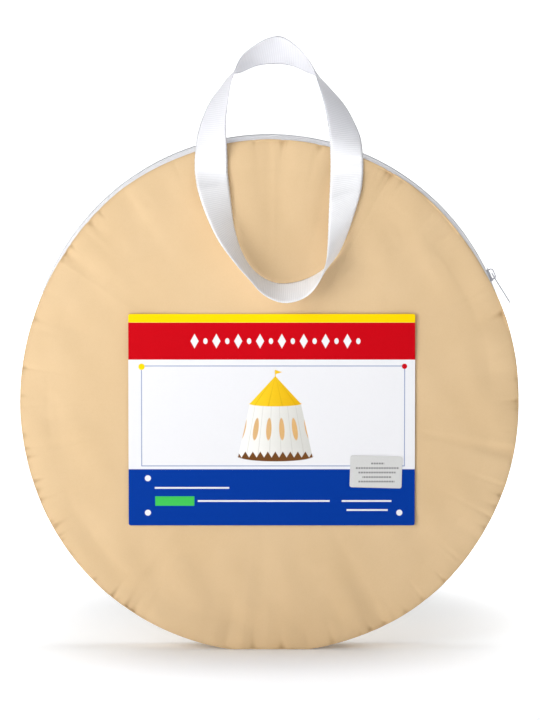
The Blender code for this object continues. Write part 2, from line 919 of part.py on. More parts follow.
def make_packs():
    """The walls, the roof and the floor of the tent, folded flat inside the hoops."""
    face = case_seam_half_depth + case_crown - cloth_thickness - touch_gap
    gap = touch_gap
    wall_back = face - roof_pack_thickness - floor_pack_thickness - 2 * gap
    make_pack("wall_cloth_pack", -face, wall_back, wall_cloth)
    make_pack("roof_cloth_pack", wall_back + gap, face - floor_pack_thickness - gap, roof_cloth)
    make_pack("floor_cloth_pack", face - floor_pack_thickness, face, floor_cloth)


clear_scene()
parts = new_collection("packed_play_tent")

cloth = new_material("beige_case_cloth", (0.80, 0.62, 0.38), 0.62)
tape_cloth = new_material("white_zip_tape", (0.86, 0.86, 0.86), 0.7)
zip_plastic = new_material("white_zip_chain", (0.72, 0.72, 0.73), 0.45)
metal = new_material("white_lacquered_metal", (0.85, 0.85, 0.86), 0.35, 0.2)
webbing = new_material("white_webbing", (0.88, 0.88, 0.89), 0.75)
print_card = new_material("printed_card", (0.85, 0.85, 0.85), 0.45)
paper = new_material("paper_sticker", (0.75, 0.75, 0.72), 0.6)
steel = new_material("spring_steel", (0.45, 0.46, 0.48), 0.35, 0.9)
wall_cloth = new_material("white_tent_cloth", (0.86, 0.86, 0.84), 0.7)
roof_cloth = new_material("yellow_tent_cloth", (0.90, 0.66, 0.08), 0.65)
floor_cloth = new_material("grey_floor_cloth", (0.55, 0.56, 0.58), 0.6)

fold_axis = (0, case_seam_half_depth + case_crown, fold_height)
lower_hinge_height = upper_hinge_height - tack_height
upper_axis = (loop_middle, -tack_depth(loop_middle, upper_hinge_height), upper_hinge_height)
lower_axis = (loop_middle, -tack_depth(loop_middle, lower_hinge_height), lower_hinge_height)

make_front_panel()
make_rear_panel()
make_lower_gusset()
make_front_tape()
make_rear_tapes()
make_chains()
make_stops()
make_slider()
make_puller()
make_handles()
make_card()
make_hoops()
make_packs()
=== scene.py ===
# %% [markdown]
# # A play tent, packed in its round zip bag
# The bag is a flat drum of beige cloth. A white zip runs over its top, two loops of white webbing
# are sewn to the top edge of its front, and a printed card sits below them. Inside lie coiled
# spring hoops and the folded cloth of the tent.
#
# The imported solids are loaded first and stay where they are. Every cloth piece is then made again
# as fine cloth in the same place, because cloth lives from its folds, its weave and its stitches.

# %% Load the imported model
import math

import bmesh
import bpy
import numpy as np
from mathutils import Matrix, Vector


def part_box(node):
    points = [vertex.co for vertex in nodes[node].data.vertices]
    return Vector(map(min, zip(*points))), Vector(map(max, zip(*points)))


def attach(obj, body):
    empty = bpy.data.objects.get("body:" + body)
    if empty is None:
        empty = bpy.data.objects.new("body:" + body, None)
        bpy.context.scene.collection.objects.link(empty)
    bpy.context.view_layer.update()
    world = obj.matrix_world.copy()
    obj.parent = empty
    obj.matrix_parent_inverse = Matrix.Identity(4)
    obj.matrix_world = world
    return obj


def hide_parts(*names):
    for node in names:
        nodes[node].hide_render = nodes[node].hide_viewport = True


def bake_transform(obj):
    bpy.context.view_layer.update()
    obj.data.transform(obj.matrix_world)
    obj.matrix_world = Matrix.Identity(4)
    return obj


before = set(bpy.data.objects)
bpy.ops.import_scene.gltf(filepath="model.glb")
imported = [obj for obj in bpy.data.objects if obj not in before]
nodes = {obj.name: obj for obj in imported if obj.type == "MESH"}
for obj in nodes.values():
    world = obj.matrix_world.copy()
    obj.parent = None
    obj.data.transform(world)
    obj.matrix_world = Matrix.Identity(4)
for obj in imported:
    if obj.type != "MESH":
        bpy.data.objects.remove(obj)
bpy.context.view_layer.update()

# %% [markdown]
# ## Camera
# The photograph looks at the bag almost straight on, from slightly above, through a long lens. A
# long lens keeps both edges of the bag the same size. The picture is 540 by 720 pixels, and the
# webbing in it gives the scale, so the lens follows from the scale and the distance.

# %% Camera
metres_per_pixel = 0.000825
picture_height = 720
camera_distance = 3.4
camera_elevation = math.radians(4.6)
front_depth = 0.022
aim = (0.0007, 0, 0.2392)
sensor_size = 36

camera_data = bpy.data.cameras.new("camera")
camera_data.sensor_width = sensor_size
seen_height = picture_height * metres_per_pixel
camera_data.lens = sensor_size * (camera_distance - front_depth) / seen_height
camera = bpy.data.objects.new("camera", camera_data)
camera.location = (
    aim[0],
    -camera_distance * math.cos(camera_elevation),
    aim[2] + camera_distance * math.sin(camera_elevation),
)
camera.rotation_euler = (math.pi / 2 - camera_elevation, 0, 0)
bpy.context.scene.collection.objects.link(camera)
bpy.context.scene.camera = camera
print("lens:", round(camera_data.lens, 1), "mm")

# %% [markdown]
# ## Shader maths
# A finish is a small graph of nodes. Written by hand, each sum takes three lines. This class wraps
# an output socket and lets Python's own operators add the Math nodes, so a pattern reads as a
# formula.

# %% A socket that understands operators
class Signal:
    """One output of a finish. Operators on it add Math nodes."""

    def __init__(self, finish, socket):
        self.finish = finish
        self.socket = socket

    def maths(self, operation, *values, **settings):
        inputs = dict(enumerate((self, *values)))
        return self.finish.node("ShaderNodeMath", {"operation": operation, **settings}, inputs)

    def swapped(self, operation, value):
        inputs = {0: value, 1: self}
        return self.finish.node("ShaderNodeMath", {"operation": operation}, inputs)

    def __add__(self, other):
        return self.maths("ADD", other)

    __radd__ = __add__

    def __sub__(self, other):
        return self.maths("SUBTRACT", other)

    def __rsub__(self, other):
        return self.swapped("SUBTRACT", other)

    def __mul__(self, other):
        return self.maths("MULTIPLY", other)

    __rmul__ = __mul__

    def __truediv__(self, other):
        return self.maths("DIVIDE", other)

    def __rtruediv__(self, other):
        return self.swapped("DIVIDE", other)

    def __abs__(self):
        return self.maths("ABSOLUTE")

    def soft(self, low, high):
        """0 below low, 1 above high, and a smooth step between them."""
        settings = {"interpolation_type": "SMOOTHSTEP"}
        inputs = {"Value": self, "From Min": low, "From Max": high}
        return self.finish.node("ShaderNodeMapRange", settings, inputs)


# %% [markdown]
# ## Finishes
# A finish owns one Principled BSDF. Numbers that are the same all over go straight on the shader's
# sockets, and only what changes over the surface is wired. Colours are given as they look on a
# screen, because that is how a maker picks them, and are turned into light values once.

# %% A finish: one material and its nodes
def linear(red, green, blue):
    """A colour as seen on a screen, 0 to 255, turned into the light values that shaders use."""
    values = [v / 255 for v in (red, green, blue)]
    return tuple(v / 12.92 if v <= 0.04045 else ((v + 0.055) / 1.055) ** 2.4 for v in values)


class Finish:
    """A material, and the one method that adds any node to it."""

    def __init__(self, name, **values):
        self.material = bpy.data.materials.new(name)
        self.material.use_nodes = True
        self.tree = self.material.node_tree
        self.shader = self.tree.nodes["Principled BSDF"]
        for socket, value in values.items():
            self.put(self.shader.inputs[socket.replace("_", " ")], value)

    def put(self, socket, value):
        if isinstance(value, Signal):
            self.tree.links.new(value.socket, socket)
        elif socket.type == "RGBA":
            socket.default_value = (*value, 1.0)
        else:
            socket.default_value = value

    def node(self, kind, settings=None, inputs=None, output=0):
        made = self.tree.nodes.new(kind)
        for name, value in (settings or {}).items():
            setattr(made, name, value)
        for name, value in (inputs or {}).items():
            self.put(made.inputs[name], value)
        return Signal(self, made.outputs[output])

    def mix(self, factor, one, other, blend="MIX"):
        settings = {"data_type": "RGBA", "blend_type": blend}
        return self.node("ShaderNodeMix", settings, {0: factor, 6: one, 7: other}, output=2)

    def places(self):
        """X, Y and Z of the object's own coordinates, in metres."""
        spot = self.node("ShaderNodeTexCoord", output="Object")
        return spot, [self.node("ShaderNodeSeparateXYZ", None, {0: spot}, n) for n in range(3)]

    def lay(self):
        """How far along and across the cloth a point lies, in metres, kept on the mesh."""
        spot = self.node("ShaderNodeAttribute", {"attribute_name": "lay"}, None, "Vector")
        return spot, [self.node("ShaderNodeSeparateXYZ", None, {0: spot}, n) for n in range(3)]

    def noise(self, spot, scale, detail=3.0, roughness=0.55):
        inputs = {"Vector": spot, "Scale": scale, "Detail": detail, "Roughness": roughness}
        return self.node("ShaderNodeTexNoise", None, inputs)

    def colour(self, value):
        self.put(self.shader.inputs["Base Color"], value)

    def rough(self, value):
        self.put(self.shader.inputs["Roughness"], value)

    def raised(self, height, depth):
        """Feeds a height, in shares of a depth in metres, to the surface's normal."""
        inputs = {"Strength": 1.0, "Distance": depth, "Height": height}
        self.put(self.shader.inputs["Normal"], self.node("ShaderNodeBump", None, inputs))


# %% [markdown]
# ## Cloth of the case
# The case is plain woven polyester: fine threads over and under each other, a faint sheen, and
# small uneven spots where the yarn thickens. Two sine waves multiplied give the weave. Their
# pitch is the real half millimetre, so it only shows close up, as it should.

# %% Woven polyester
cloth_specular = 0.35
# How dark painted shade makes creases and the seam, and at what depth of a notch, in millimetres,
# it is darkest.
crease_shade_strength = 0.44
deepest_crease = 1.8


def woven(along, across, pitch):
    """The height of a plain weave: 1 on top of a thread and 0 between threads."""
    turn = math.tau / pitch
    return (along * turn).maths("SINE") * (across * turn).maths("SINE") * 0.5 + 0.5


def woven_cloth(name, colour, deep, pitch, roughness, sheen, painted_crease_shade=None):
    sheen_values = {"Sheen_Weight": sheen, "Sheen_Roughness": 0.4}
    finish = Finish(name, Specular_IOR_Level=cloth_specular, **sheen_values)
    _, (along, across, crease) = finish.lay()
    spot, _ = finish.places()
    threads = woven(along, across, pitch)
    slub = finish.noise(spot, 900, 2)
    cloud = finish.noise(spot, 14, 3)
    tone = cloud.soft(0.3, 0.7) * 0.5 + slub.soft(0.25, 0.75) * 0.22 + (1 - threads) * 0.28
    tint = finish.mix(tone, colour, deep)
    # Painted shade: creases and the seam are drawn darker, by the crease value kept on the mesh.
    if painted_crease_shade:
        tint = finish.mix(crease.soft(0.0, deepest_crease) * crease_shade_strength, tint, painted_crease_shade)
    finish.colour(tint)
    finish.rough(slub * 0.16 + (roughness - 0.08))
    finish.raised(threads * 0.8 + slub * 0.5, pitch * 0.16)
    return finish.material


case_cloth = woven_cloth(
    "beige_polyester",
    linear(221, 191, 149),
    linear(214, 183, 139),
    0.0006,
    0.66,
    0.22,
    painted_crease_shade=linear(150, 112, 68),
)
print("made", case_cloth.name)

# %% [markdown]
# ## From a grid of points to cloth
# All cloth here is a grid of points, bent in Python and then given a thickness. Each point keeps
# how far along and across the cloth it lies, so a weave follows the cloth round every bend. The
# third number it keeps says how deep in a crease it lies, and there the cloth gets painted shade.

# %% Grid to mesh
def points(x, y, z):
    """Points from three arrays or numbers that fit each other's shape."""
    return np.stack(np.broadcast_arrays(x, y, z), axis=-1)


def place_mesh(name, mesh, material):
    """A smooth object of a mesh, with one material."""
    mesh.shade_smooth()
    made = bpy.data.objects.new(name, mesh)
    made.data.materials.append(material)
    bpy.context.scene.collection.objects.link(made)
    return made


def surface(name, grid, lay, material, closed=False, crease=None):
    rows, columns = grid.shape[:2]
    index = np.arange(rows * columns).reshape(rows, columns)
    if closed:
        index = np.concatenate([index, index[:, :1]], axis=1)
    quads = np.stack([index[:-1, :-1], index[:-1, 1:], index[1:, 1:], index[1:, :-1]], axis=-1)
    mesh = bpy.data.meshes.new(name)
    mesh.from_pydata(grid.reshape(-1, 3).tolist(), [], quads.reshape(-1, 4).tolist())
    spots = mesh.attributes.new("lay", "FLOAT_VECTOR", "POINT")
    flat = np.zeros((rows * columns, 3), np.float32)
    flat[:, :2] = np.asarray(lay, np.float32).reshape(-1, 2)
    if crease is not None:
        flat[:, 2] = np.asarray(crease, np.float32).ravel()
    spots.data.foreach_set("vector", flat.ravel())
    return place_mesh(name, mesh, material)


def settle(piece):
    """Makes the evaluated mesh the piece's own mesh, so that no modifier is left."""
    bpy.context.view_layer.update()
    shape = piece.evaluated_get(bpy.context.evaluated_depsgraph_get())
    mesh = bpy.data.meshes.new_from_object(shape)
    piece.modifiers.clear()
    piece.data = mesh
    return piece


def thicken(piece, thickness):
    """Gives a sheet its thickness, inwards from the face that was drawn."""
    shell = piece.modifiers.new("thickness", "SOLIDIFY")
    shell.thickness = thickness
    shell.offset = -1.0
    shell.use_even_offset = False
    return settle(piece)


# %% [markdown]
# ## The shape of the case
# The case is a drum whose outline is a slightly tall oval, pressed flat where it stands. These are
# the sizes of the solid, so the cloth lies where the solid lies. Sewn cloth never keeps a clean
# oval: it sags below the middle and is drawn in beside the zip, by up to three millimetres.

# %% Sizes of the case
millimetre = 0.001
half_width = 0.2058
half_height = 0.2124
middle_height = 0.2098
seam_depth = 0.0200
crown = 0.0040
crown_share = 0.82
seam_gap = 0.0004
collar = 0.0004
cloth_thickness = 0.0008
arc_radius = 0.1994
arc_height = 0.2263
tape_end = math.radians(13.8)
chain_start = math.radians(15.2)
chain_end = math.radians(159.0)
slider_angle = math.radians(24.6)

# How far the sewn outline lies outside the oval, in millimetres, at directions in degrees.
outline_turns = (
    0, 10, 20, 30, 40, 48, 56, 66, 90, 110, 125, 135, 145, 160, 172,
    182, 195, 210, 230, 250, 262, 278, 290, 302, 312, 325, 340, 350, 360,
)
outline_sags = (
    0.3, 0.2, -0.3, -1.6, -1.5, -0.3, 0.7, 0.6, 0.7, -0.2, 0.3, -0.5, -1.4, -1.2, -0.6,
    0.1, 0.6, 1.5, 1.7, 0.5, 0.0, 0.0, 0.8, 2.4, 3.0, 2.4, 2.0, 1.2, 0.3,
)


def rim(direction, inset=0.0):
    """The case's sagging oval, seen from its centre, at directions in radians."""
    wide = half_width - inset
    tall = half_height - inset
    reach = wide * tall / np.hypot(tall * np.cos(direction), wide * np.sin(direction))
    turn = np.degrees(direction) % 360
    reach = reach + np.interp(turn, outline_turns, outline_sags) * millimetre
    x = reach * np.cos(direction)
    z = middle_height + reach * np.sin(direction)
    return x, np.maximum(z, 0)


def shoulder(share):
    """The depth of a panel's outer face, from its middle (share 0) to its seam (share 1)."""
    fall = np.clip((share - crown_share) / (1 - crown_share), 0, 1)
    edge = seam_depth + seam_gap / 2 + collar
    return edge + (seam_depth + crown - edge) * np.sqrt(np.maximum(1 - fall**2, 0))


print("case:", round(2 * half_width, 4), "m wide,", round(2 * half_height, 4), "m tall")

# %% [markdown]
# ## Puckers
# A flat panel sewn to a curved strip always puckers: the cloth has to lose some length along the
# seam, and it does so in short valleys that run inwards. A few longer, softer folds reach further.
# Every valley here only pushes the cloth inwards, so it never comes nearer to the card or straps.

# %% Valleys and soft waves of a panel
# The outermost share of a panel, which the stitches hold flat.
held_share = 0.006


def valleys(direction, share, draws, count, width, depth, reach):
    """Short folds from the seam inwards, at random places round the rim."""
    total = np.zeros_like(direction * share)
    for _ in range(count):
        place = draws.uniform(-math.pi, math.pi)
        wide = draws.uniform(*width) / half_width
        deep = draws.uniform(*depth)
        far = draws.uniform(*reach) / half_width
        away = (direction - place + math.pi) % math.tau - math.pi
        line = np.exp(-((away / wide) ** 2))
        start = np.clip((1 - share) / held_share, 0, 1)
        total = np.maximum(total, deep * line * start * np.exp(-(1 - share) / far))
    return total


def waves(x, z, draws, count, length, height):
    """Broad unevenness from a few cosine waves that run in random directions."""
    total = np.zeros_like(x)
    for _ in range(count):
        turn = draws.uniform(0, math.pi)
        size = draws.uniform(*length)
        phase = draws.uniform(0, math.tau)
        along = x * math.cos(turn) + z * math.sin(turn)
        total += np.cos(along * math.tau / size + phase)
    return height * (1 + np.clip(total / math.sqrt(2 * count), -1, 1))


# %% [markdown]
# ## The two panels
# Each panel is a disc made of rings, close together near the seam, where the puckers are small, and
# wide apart in the middle, where the cloth is calm. Three kinds of fold are laid over each other:
# notches right at the stitches, short folds, and a few long ones that reach far in.

# %% Front and rear panel
around = 1200
seam_rings = [1.0, 0.9975, 0.9950]
puckered_rings = 0.9925 - np.linspace(0, 0.2125, 34) ** 1.1 * 1.16
calm_rings = np.linspace(0.76, 0.02, 34)
ring_shares = np.concatenate([seam_rings, puckered_rings, calm_rings, [0.0]])

# Of each kind of fold: how many, then the range of widths, of depths and of reaches, in metres.
notch_folds = (54, (0.0012, 0.0026), (0.0007, 0.0022), (0.0022, 0.0080))
short_folds = (70, (0.002, 0.005), (0.0003, 0.0010), (0.007, 0.018))
long_folds = (30, (0.005, 0.013), (0.0010, 0.0024), (0.018, 0.060))
# Of each kind of swell: how many waves, the range of their lengths and their height.
small_swells = (9, (0.030, 0.085), 0.0010)
broad_swells = (7, (0.09, 0.2), 0.0009)
# Folds are this deep on average, and by the second share deeper on the right.
fold_share, fold_share_right = 0.8, 0.3
# Small swells start at calm_share and grow over the next share. All of them end at the seam.
calm_share, growth_share = 0.45, 0.4
seam_calm = 9
# The outermost share of the panel is drawn in by a share of each notch's depth.
pulled_share, pull_share = 0.1, 0.3
# Painted shade: a crease is drawn as dark as a notch is deep, in millimetres, and darker near the
# seam.
seam_shade, seam_shade_reach = 0.9, 0.014


def panel(name, side, seed, material):
    """The cloth of one panel, on the front (side -1) or the back (side 1) of the case."""
    draws = np.random.default_rng(seed)
    direction = np.linspace(0, math.tau, around, endpoint=False)[None, :]
    share = ring_shares[:, None]
    x, z = rim(direction)
    x = x * share
    z = middle_height + (z - middle_height) * share
    depth = np.broadcast_to(shoulder(share), x.shape).copy()
    notches = valleys(direction, share, draws, *notch_folds)
    inward = notches + valleys(direction, share, draws, *short_folds)
    inward += valleys(direction, share, draws, *long_folds)
    inward *= fold_share + fold_share_right * np.cos(direction)
    off_seam = np.clip((1 - share) * seam_calm, 0, 1)
    near_rim = np.clip((share - calm_share) / growth_share, 0, 1)
    inward += waves(x, z, draws, *small_swells) * near_rim * off_seam
    inward += waves(x, z, draws, *broad_swells) * off_seam
    depth -= inward
    # Painted shade, kept on the mesh: by each notch's depth, and by nearness to the seam.
    shade = notches / millimetre + seam_shade * np.exp(-(1 - share) / seam_shade_reach)
    crease = np.concatenate([shade[:1], shade])
    at_rim = np.clip((share - (1 - pulled_share)) / pulled_share, 0, 1)
    drawn_in = 1 - pull_share * notches[len(seam_rings)][None] * at_rim / half_width
    x = x * drawn_in
    z = middle_height + (z - middle_height) * drawn_in
    collar_row = points(x[0], seam_depth + seam_gap / 2, z[0])
    grid = np.concatenate([collar_row[None], points(x, depth, z)])
    grid[..., 1] *= side
    lay = grid[..., [0, 2]]
    if side > 0:
        grid = grid[:, ::-1]
        lay = lay[:, ::-1]
        crease = crease[:, ::-1]
    made = surface(name, grid, lay, material, closed=True, crease=crease)
    return thicken(made, cloth_thickness)


front = panel("front_cloth", -1, 11, case_cloth)
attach(front, "case")
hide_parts("front_panel")
print("front cloth points:", len(front.data.vertices))

# %% [markdown]
# The rear panel folds back where the zip lets it open. It is made as one piece of cloth over the
# case and the flap, so no cut shows when it is shut.

rear = panel("rear_cloth", 1, 23, case_cloth)
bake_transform(rear)
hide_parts("rear_panel", "rear_flap")
print("rear cloth points:", len(rear.data.vertices))

# %% [markdown]
# ## The gusset
# A strip of the same cloth joins the two panels round the bottom. Its middle sinks in a little
# between the hoops' outer turns, and it wrinkles across, because the drum's edge is curved.

# %% The gusset's strip
gusset_dip = 0.0016
gusset_wrinkle = 0.0008
gusset_wrinkles = 70
gusset_wrinkle_widths = (0.003, 0.012)
gusset_wrinkle_shares = (0.2, 0.9)
gusset_seed = 37
gusset_rows, gusset_columns = 13, 620
# Wrinkles grow with the square of the turn from the place that the bag stands on.
wrinkle_growth, smooth_place = 6, 0.25


def gusset():
    draws = np.random.default_rng(gusset_seed)
    end_x, end_z = arc_radius * math.cos(tape_end), arc_height + arc_radius * math.sin(tape_end)
    first = math.atan2(end_z - middle_height, end_x) - seam_gap / half_width
    turn = math.pi + 2 * first
    share = np.linspace(-1, 1, gusset_rows)[:, None]
    direction = first - turn * np.linspace(0, 1, gusset_columns)[None, :]
    dip = gusset_dip * (1 + np.sin(direction)) / (1 + math.sin(first))
    lines = np.zeros_like(direction)
    for _ in range(gusset_wrinkles):
        place = draws.uniform(first - turn, first)
        wide = draws.uniform(*gusset_wrinkle_widths) / half_width
        high = draws.uniform(*gusset_wrinkle_shares)
        lines = lines + high * np.exp(-(((direction - place) / wide) ** 2))
    away = np.clip((direction + math.pi / 2) ** 2 * wrinkle_growth - smooth_place, 0, 1)
    inset = (dip + gusset_wrinkle * lines * away) * (1 - share**2)
    x, z = rim(direction, inset)
    grid = points(x, share * (seam_depth - seam_gap / 2), z)
    along = np.broadcast_to((first - direction) * half_width, x.shape)
    lay = np.stack([along, grid[..., 1]], axis=-1)
    return thicken(surface("gusset_cloth", grid, lay, case_cloth), cloth_thickness)


gusset_cloth = gusset()
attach(gusset_cloth, "case")
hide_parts("lower_gusset")
print("gusset points:", len(gusset_cloth.data.vertices))

# %% [markdown]
# ## The zip's tapes
# A zip tape is a firm white band, woven with a rib along its length. It carries half of the coil
# on one edge, and its other edge is sewn to a panel.

# %% White woven tape
def ribbed_band(name, colour, deep, rib, roughness):
    finish = Finish(name, Sheen_Weight=0.15, Sheen_Roughness=0.5, Specular_IOR_Level=0.3)
    _, (along, across, _) = finish.lay()
    spot, _ = finish.places()
    rows = (across * (math.tau / rib)).maths("SINE") * 0.5 + 0.5
    cross = (along * (math.tau / (rib * 0.7))).maths("SINE") * 0.5 + 0.5
    fuzz = finish.noise(spot, 1400, 2)
    height = rows * 0.6 + cross * rows * 0.3 + fuzz * 0.25
    finish.colour(finish.mix(height.soft(0.1, 0.9), deep, colour))
    finish.rough(fuzz * 0.12 + (roughness - 0.06))
    finish.raised(height, rib * 0.18)
    return finish.material


tape_white = ribbed_band("white_tape", linear(243, 242, 245), linear(228, 228, 232), 0.0009, 0.7)
print("made", tape_white.name)

# %% [markdown]
# Beside the coil the tape has to follow the zip's circle, or the slider would jam. At its sewn edge
# it has to follow the case's oval. Between the two it bends over, which the fall below works out.

# %% Front and rear tape
coil_out = 0.0029
tape_inner = coil_out + 0.0003
tape_flat = 0.0046
tape_outer = seam_depth - seam_gap / 2
tape_lift = 0.0003
tape_ripple = 0.00012
tape_ripple_turns, tape_ripple_groups = 150, 61
tape_thickness = 0.0006
tape_steps = 460
flat_rows, falling_rows = 4, 12
seam_steps = 500


def on_arc(angle, lift):
    """X and Z on the zip's arc, lifted outwards."""
    return (arc_radius + lift) * np.cos(angle), arc_height + (arc_radius + lift) * np.sin(angle)


def tape_fall(across):
    """0 where the tape lies on the zip's arc, and 1 where it is sewn to the panel."""
    return np.clip((across - tape_flat) / (tape_outer - tape_flat), 0, 1) ** 2


def on_tape(angle, fall, lift):
    """X and Z of the tape's outer face."""
    x, z = on_arc(angle, lift)
    seam_x, seam_z = rim(np.arctan2(z - middle_height, x))
    return x + (seam_x - x) * fall, z + (seam_z - z) * fall


def tape(name, side):
    angle = np.linspace(tape_end, math.pi - tape_end, tape_steps)[None, :]
    beside_coil = np.linspace(tape_inner, tape_flat, flat_rows)[:-1]
    falling = np.linspace(tape_flat, tape_outer, falling_rows)
    across = np.concatenate([beside_coil, falling])[:, None]
    fall = tape_fall(across)
    ripple = np.sin(angle * tape_ripple_turns + side) * np.sin(angle * tape_ripple_groups)
    lift = tape_lift + tape_ripple * ripple * fall
    x, z = on_tape(angle, fall, lift)
    grid = points(x, side * across, z)
    lay = np.stack(np.broadcast_arrays(angle * arc_radius, across), axis=-1)
    if side > 0:
        grid = grid[:, ::-1]
        lay = lay[:, ::-1]
    return thicken(surface(name, grid, lay, tape_white), tape_thickness)


front_tape = tape("front_tape", -1)
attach(front_tape, "case")
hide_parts("front_zip_tape")

rear_tape = tape("rear_tape", 1)
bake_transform(rear_tape)
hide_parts("rear_zip_tape", "rear_zip_tape_right_end", "rear_zip_tape_left_end")
print("tape points:", len(front_tape.data.vertices) + len(rear_tape.data.vertices))

# %% [markdown]
# ## The coil
# The chain of a light zip is not rows of teeth but two spirals of plastic thread, one sewn to each
# tape. Closed, the turns of one lie between the turns of the other. Above the slider they are
# closed, and below it they run apart, because this slider has closed the zip by running down.

# %% A tube along a path
def run_length(path):
    """How far along a path each of its points lies."""
    return np.concatenate([[0], np.cumsum(np.linalg.norm(np.diff(path, axis=0), axis=1))])


def along_path(stations, length, path):
    """Points, or directions, at given distances along a path."""
    return np.stack([np.interp(stations, length, path[:, n]) for n in range(3)], axis=-1)


def frames(path):
    """Two directions square to a path, at each of its points."""
    along = np.gradient(path, axis=0)
    along /= np.linalg.norm(along, axis=1, keepdims=True)
    guide = np.where(np.abs(along[:, 1:2]) < 0.9, [[0.0, 1.0, 0.0]], [[1.0, 0.0, 0.0]])
    side = np.cross(along, guide)
    side /= np.linalg.norm(side, axis=1, keepdims=True)
    return side, np.cross(side, along)


def rings(side, up, turn):
    """Circles of radius 1 in the planes of two directions, at the corners' angles."""
    return side[:, None] * np.cos(turn)[:, None] + up[:, None] * np.sin(turn)[:, None]


def tube(name, path, radius, corners, material):
    turn = np.linspace(0, math.tau, corners, endpoint=False)
    radius = np.broadcast_to(radius, len(path))[:, None, None]
    grid = path[:, None] + rings(*frames(path), turn) * radius
    lay = np.stack(np.broadcast_arrays(run_length(path)[:, None], turn * 0.0003), axis=-1)
    return surface(name, grid, lay, material, closed=True)


# %% [markdown]
# Moulded plastic and lacquer share one finish: a colour that is a little cloudy, and a fine grain
# that breaks up the shine. The grain's size and the coat over it tell the two apart.

# %% Coil plastic
def moulded(name, colour, deep, roughness, grain, coat=0.0):
    finish = Finish(name, Coat_Weight=coat, Coat_Roughness=0.2)
    spot, _ = finish.places()
    cloud = finish.noise(spot, 260, 3)
    fine = finish.noise(spot, grain, 2)
    finish.colour(finish.mix(cloud.soft(0.35, 0.65), colour, deep))
    finish.rough(fine * 0.14 + (roughness - 0.07))
    finish.raised(fine, 0.00002)
    return finish.material


coil_plastic = moulded("white_coil", linear(226, 227, 230), linear(212, 214, 218), 0.45, 2600)
print("made", coil_plastic.name)

# %% [markdown]
# Each spiral winds from the tape to just past the zip's middle line, half a turn out of step with
# its neighbour. The thread is a little thicker at the head of each turn, as real coil is, because
# that is what locks the two sides. Past the slider the heads draw apart.

# %% Two spirals
coil_pitch = 0.0015
coil_wire = 0.00027
coil_overlap = 0.00035
coil_seat = 0.0001
# The heads start to draw apart just past the slider, and are this far apart after a turn.
coil_opening, opening_start, opening_turn = 0.0010, 0.01, 0.12
coil_lift = 0.00088
coil_head = 0.18
steps_per_turn = 10
coil_corners = 6


def coil(name, side, phase):
    """One spiral of the chain, from its start at the slider's side to its end."""
    turns = int(arc_radius * (chain_end - chain_start) / coil_pitch)
    steps = turns * steps_per_turn
    turn = np.linspace(0, turns * math.tau, steps + 1) + phase
    angle = np.linspace(chain_start, chain_end, steps + 1)
    past = slider_angle - opening_start - angle
    apart = np.clip(past / opening_turn, 0, 1) * coil_opening
    tip = apart - coil_overlap
    middle = (coil_out - coil_wire + tip) / 2 + coil_seat
    reach = (coil_out - coil_wire - tip) / 2
    x, z = on_arc(angle, coil_lift * np.sin(turn))
    path = points(x, side * (middle - reach * np.cos(turn)), z)
    thick = coil_wire * (1 + coil_head * np.clip(np.cos(turn), 0, 1) ** 2)
    return tube(name, path, thick, coil_corners, coil_plastic)


front_coil = coil("front_coil", -1, 0.0)
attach(front_coil, "case")
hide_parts("front_zip_chain")

rear_coil = coil("rear_coil", 1, math.pi)
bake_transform(rear_coil)
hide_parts("rear_zip_chain", "rear_zip_chain_right_end", "rear_zip_chain_left_end")
print("coil points:", len(front_coil.data.vertices) + len(rear_coil.data.vertices))

# %% [markdown]
# ## Stitches
# Sewing is real thread, about a third of a millimetre thick, in stitches of three millimetres with
# a small gap where the thread dives into the cloth. Each one is a short spindle laid along a seam.

# %% Rows of stitches
stitch_pitch = 0.0030
stitch_sink = 0.35
thread_radius = 0.00022
thread_corners = 6
# Along one stitch: the places of its rings, and how thick the thread is there.
stitch_places = np.array([0.06, 0.2, 0.5, 0.8, 0.94])
stitch_swell = np.array([0.2, 0.8, 1.0, 0.8, 0.2])


def stitches(name, path, outward, material):
    """Spindles of thread along a path, lifted from the cloth along the outward directions."""
    length = run_length(path)
    turn = np.linspace(0, math.tau, thread_corners, endpoint=False)
    thick = thread_radius * stitch_swell
    last = (len(thick) - 1) * thread_corners
    spots, faces = [], []
    for number in range(int(length[-1] / stitch_pitch)):
        at = (number + stitch_places) * stitch_pitch
        spine = along_path(at, length, path)
        up = along_path(at, length, outward)
        up /= np.linalg.norm(up, axis=1, keepdims=True)
        along = np.gradient(spine, axis=0)
        along /= np.linalg.norm(along, axis=1, keepdims=True)
        spine = spine + up * (thick[:, None] - thread_radius * stitch_sink)
        base = len(spots)
        ring = rings(np.cross(along, up), up, turn) * thick[:, None, None]
        spots += (spine[:, None] + ring).reshape(-1, 3).tolist()
        for start in range(base, base + last, thread_corners):
            for step in range(thread_corners):
                one, two = start + step, start + (step + 1) % thread_corners
                faces.append((one, two, two + thread_corners, one + thread_corners))
        faces.append(tuple(base + step for step in range(thread_corners))[::-1])
        faces.append(tuple(base + last + step for step in range(thread_corners)))
    mesh = bpy.data.meshes.new(name)
    mesh.from_pydata(spots, [], faces)
    return place_mesh(name, mesh, material)


# %% [markdown]
# The thread is twisted from two yarns, so its finish has slanting bands, fine as the twist. The row
# follows the tape near its panel, on the tape's own formula, so it can't lift off or sink in.

# %% Thread, and the two rows that hold the tapes
def thread(name, colour, deep):
    finish = Finish(name, Sheen_Weight=0.3, Specular_IOR_Level=0.3)
    spot, _ = finish.places()
    slanting = {"bands_direction": "DIAGONAL"}
    twist = finish.node("ShaderNodeTexWave", slanting, {"Vector": spot, "Scale": 900})
    finish.colour(finish.mix(twist, deep, colour))
    finish.rough(finish.noise(spot, 1500, 1) * 0.1 + 0.6)
    finish.raised(twist, 0.00005)
    return finish.material


white_thread = thread("white_thread", linear(244, 244, 244), linear(214, 214, 214))
seam_margin = 0.0026


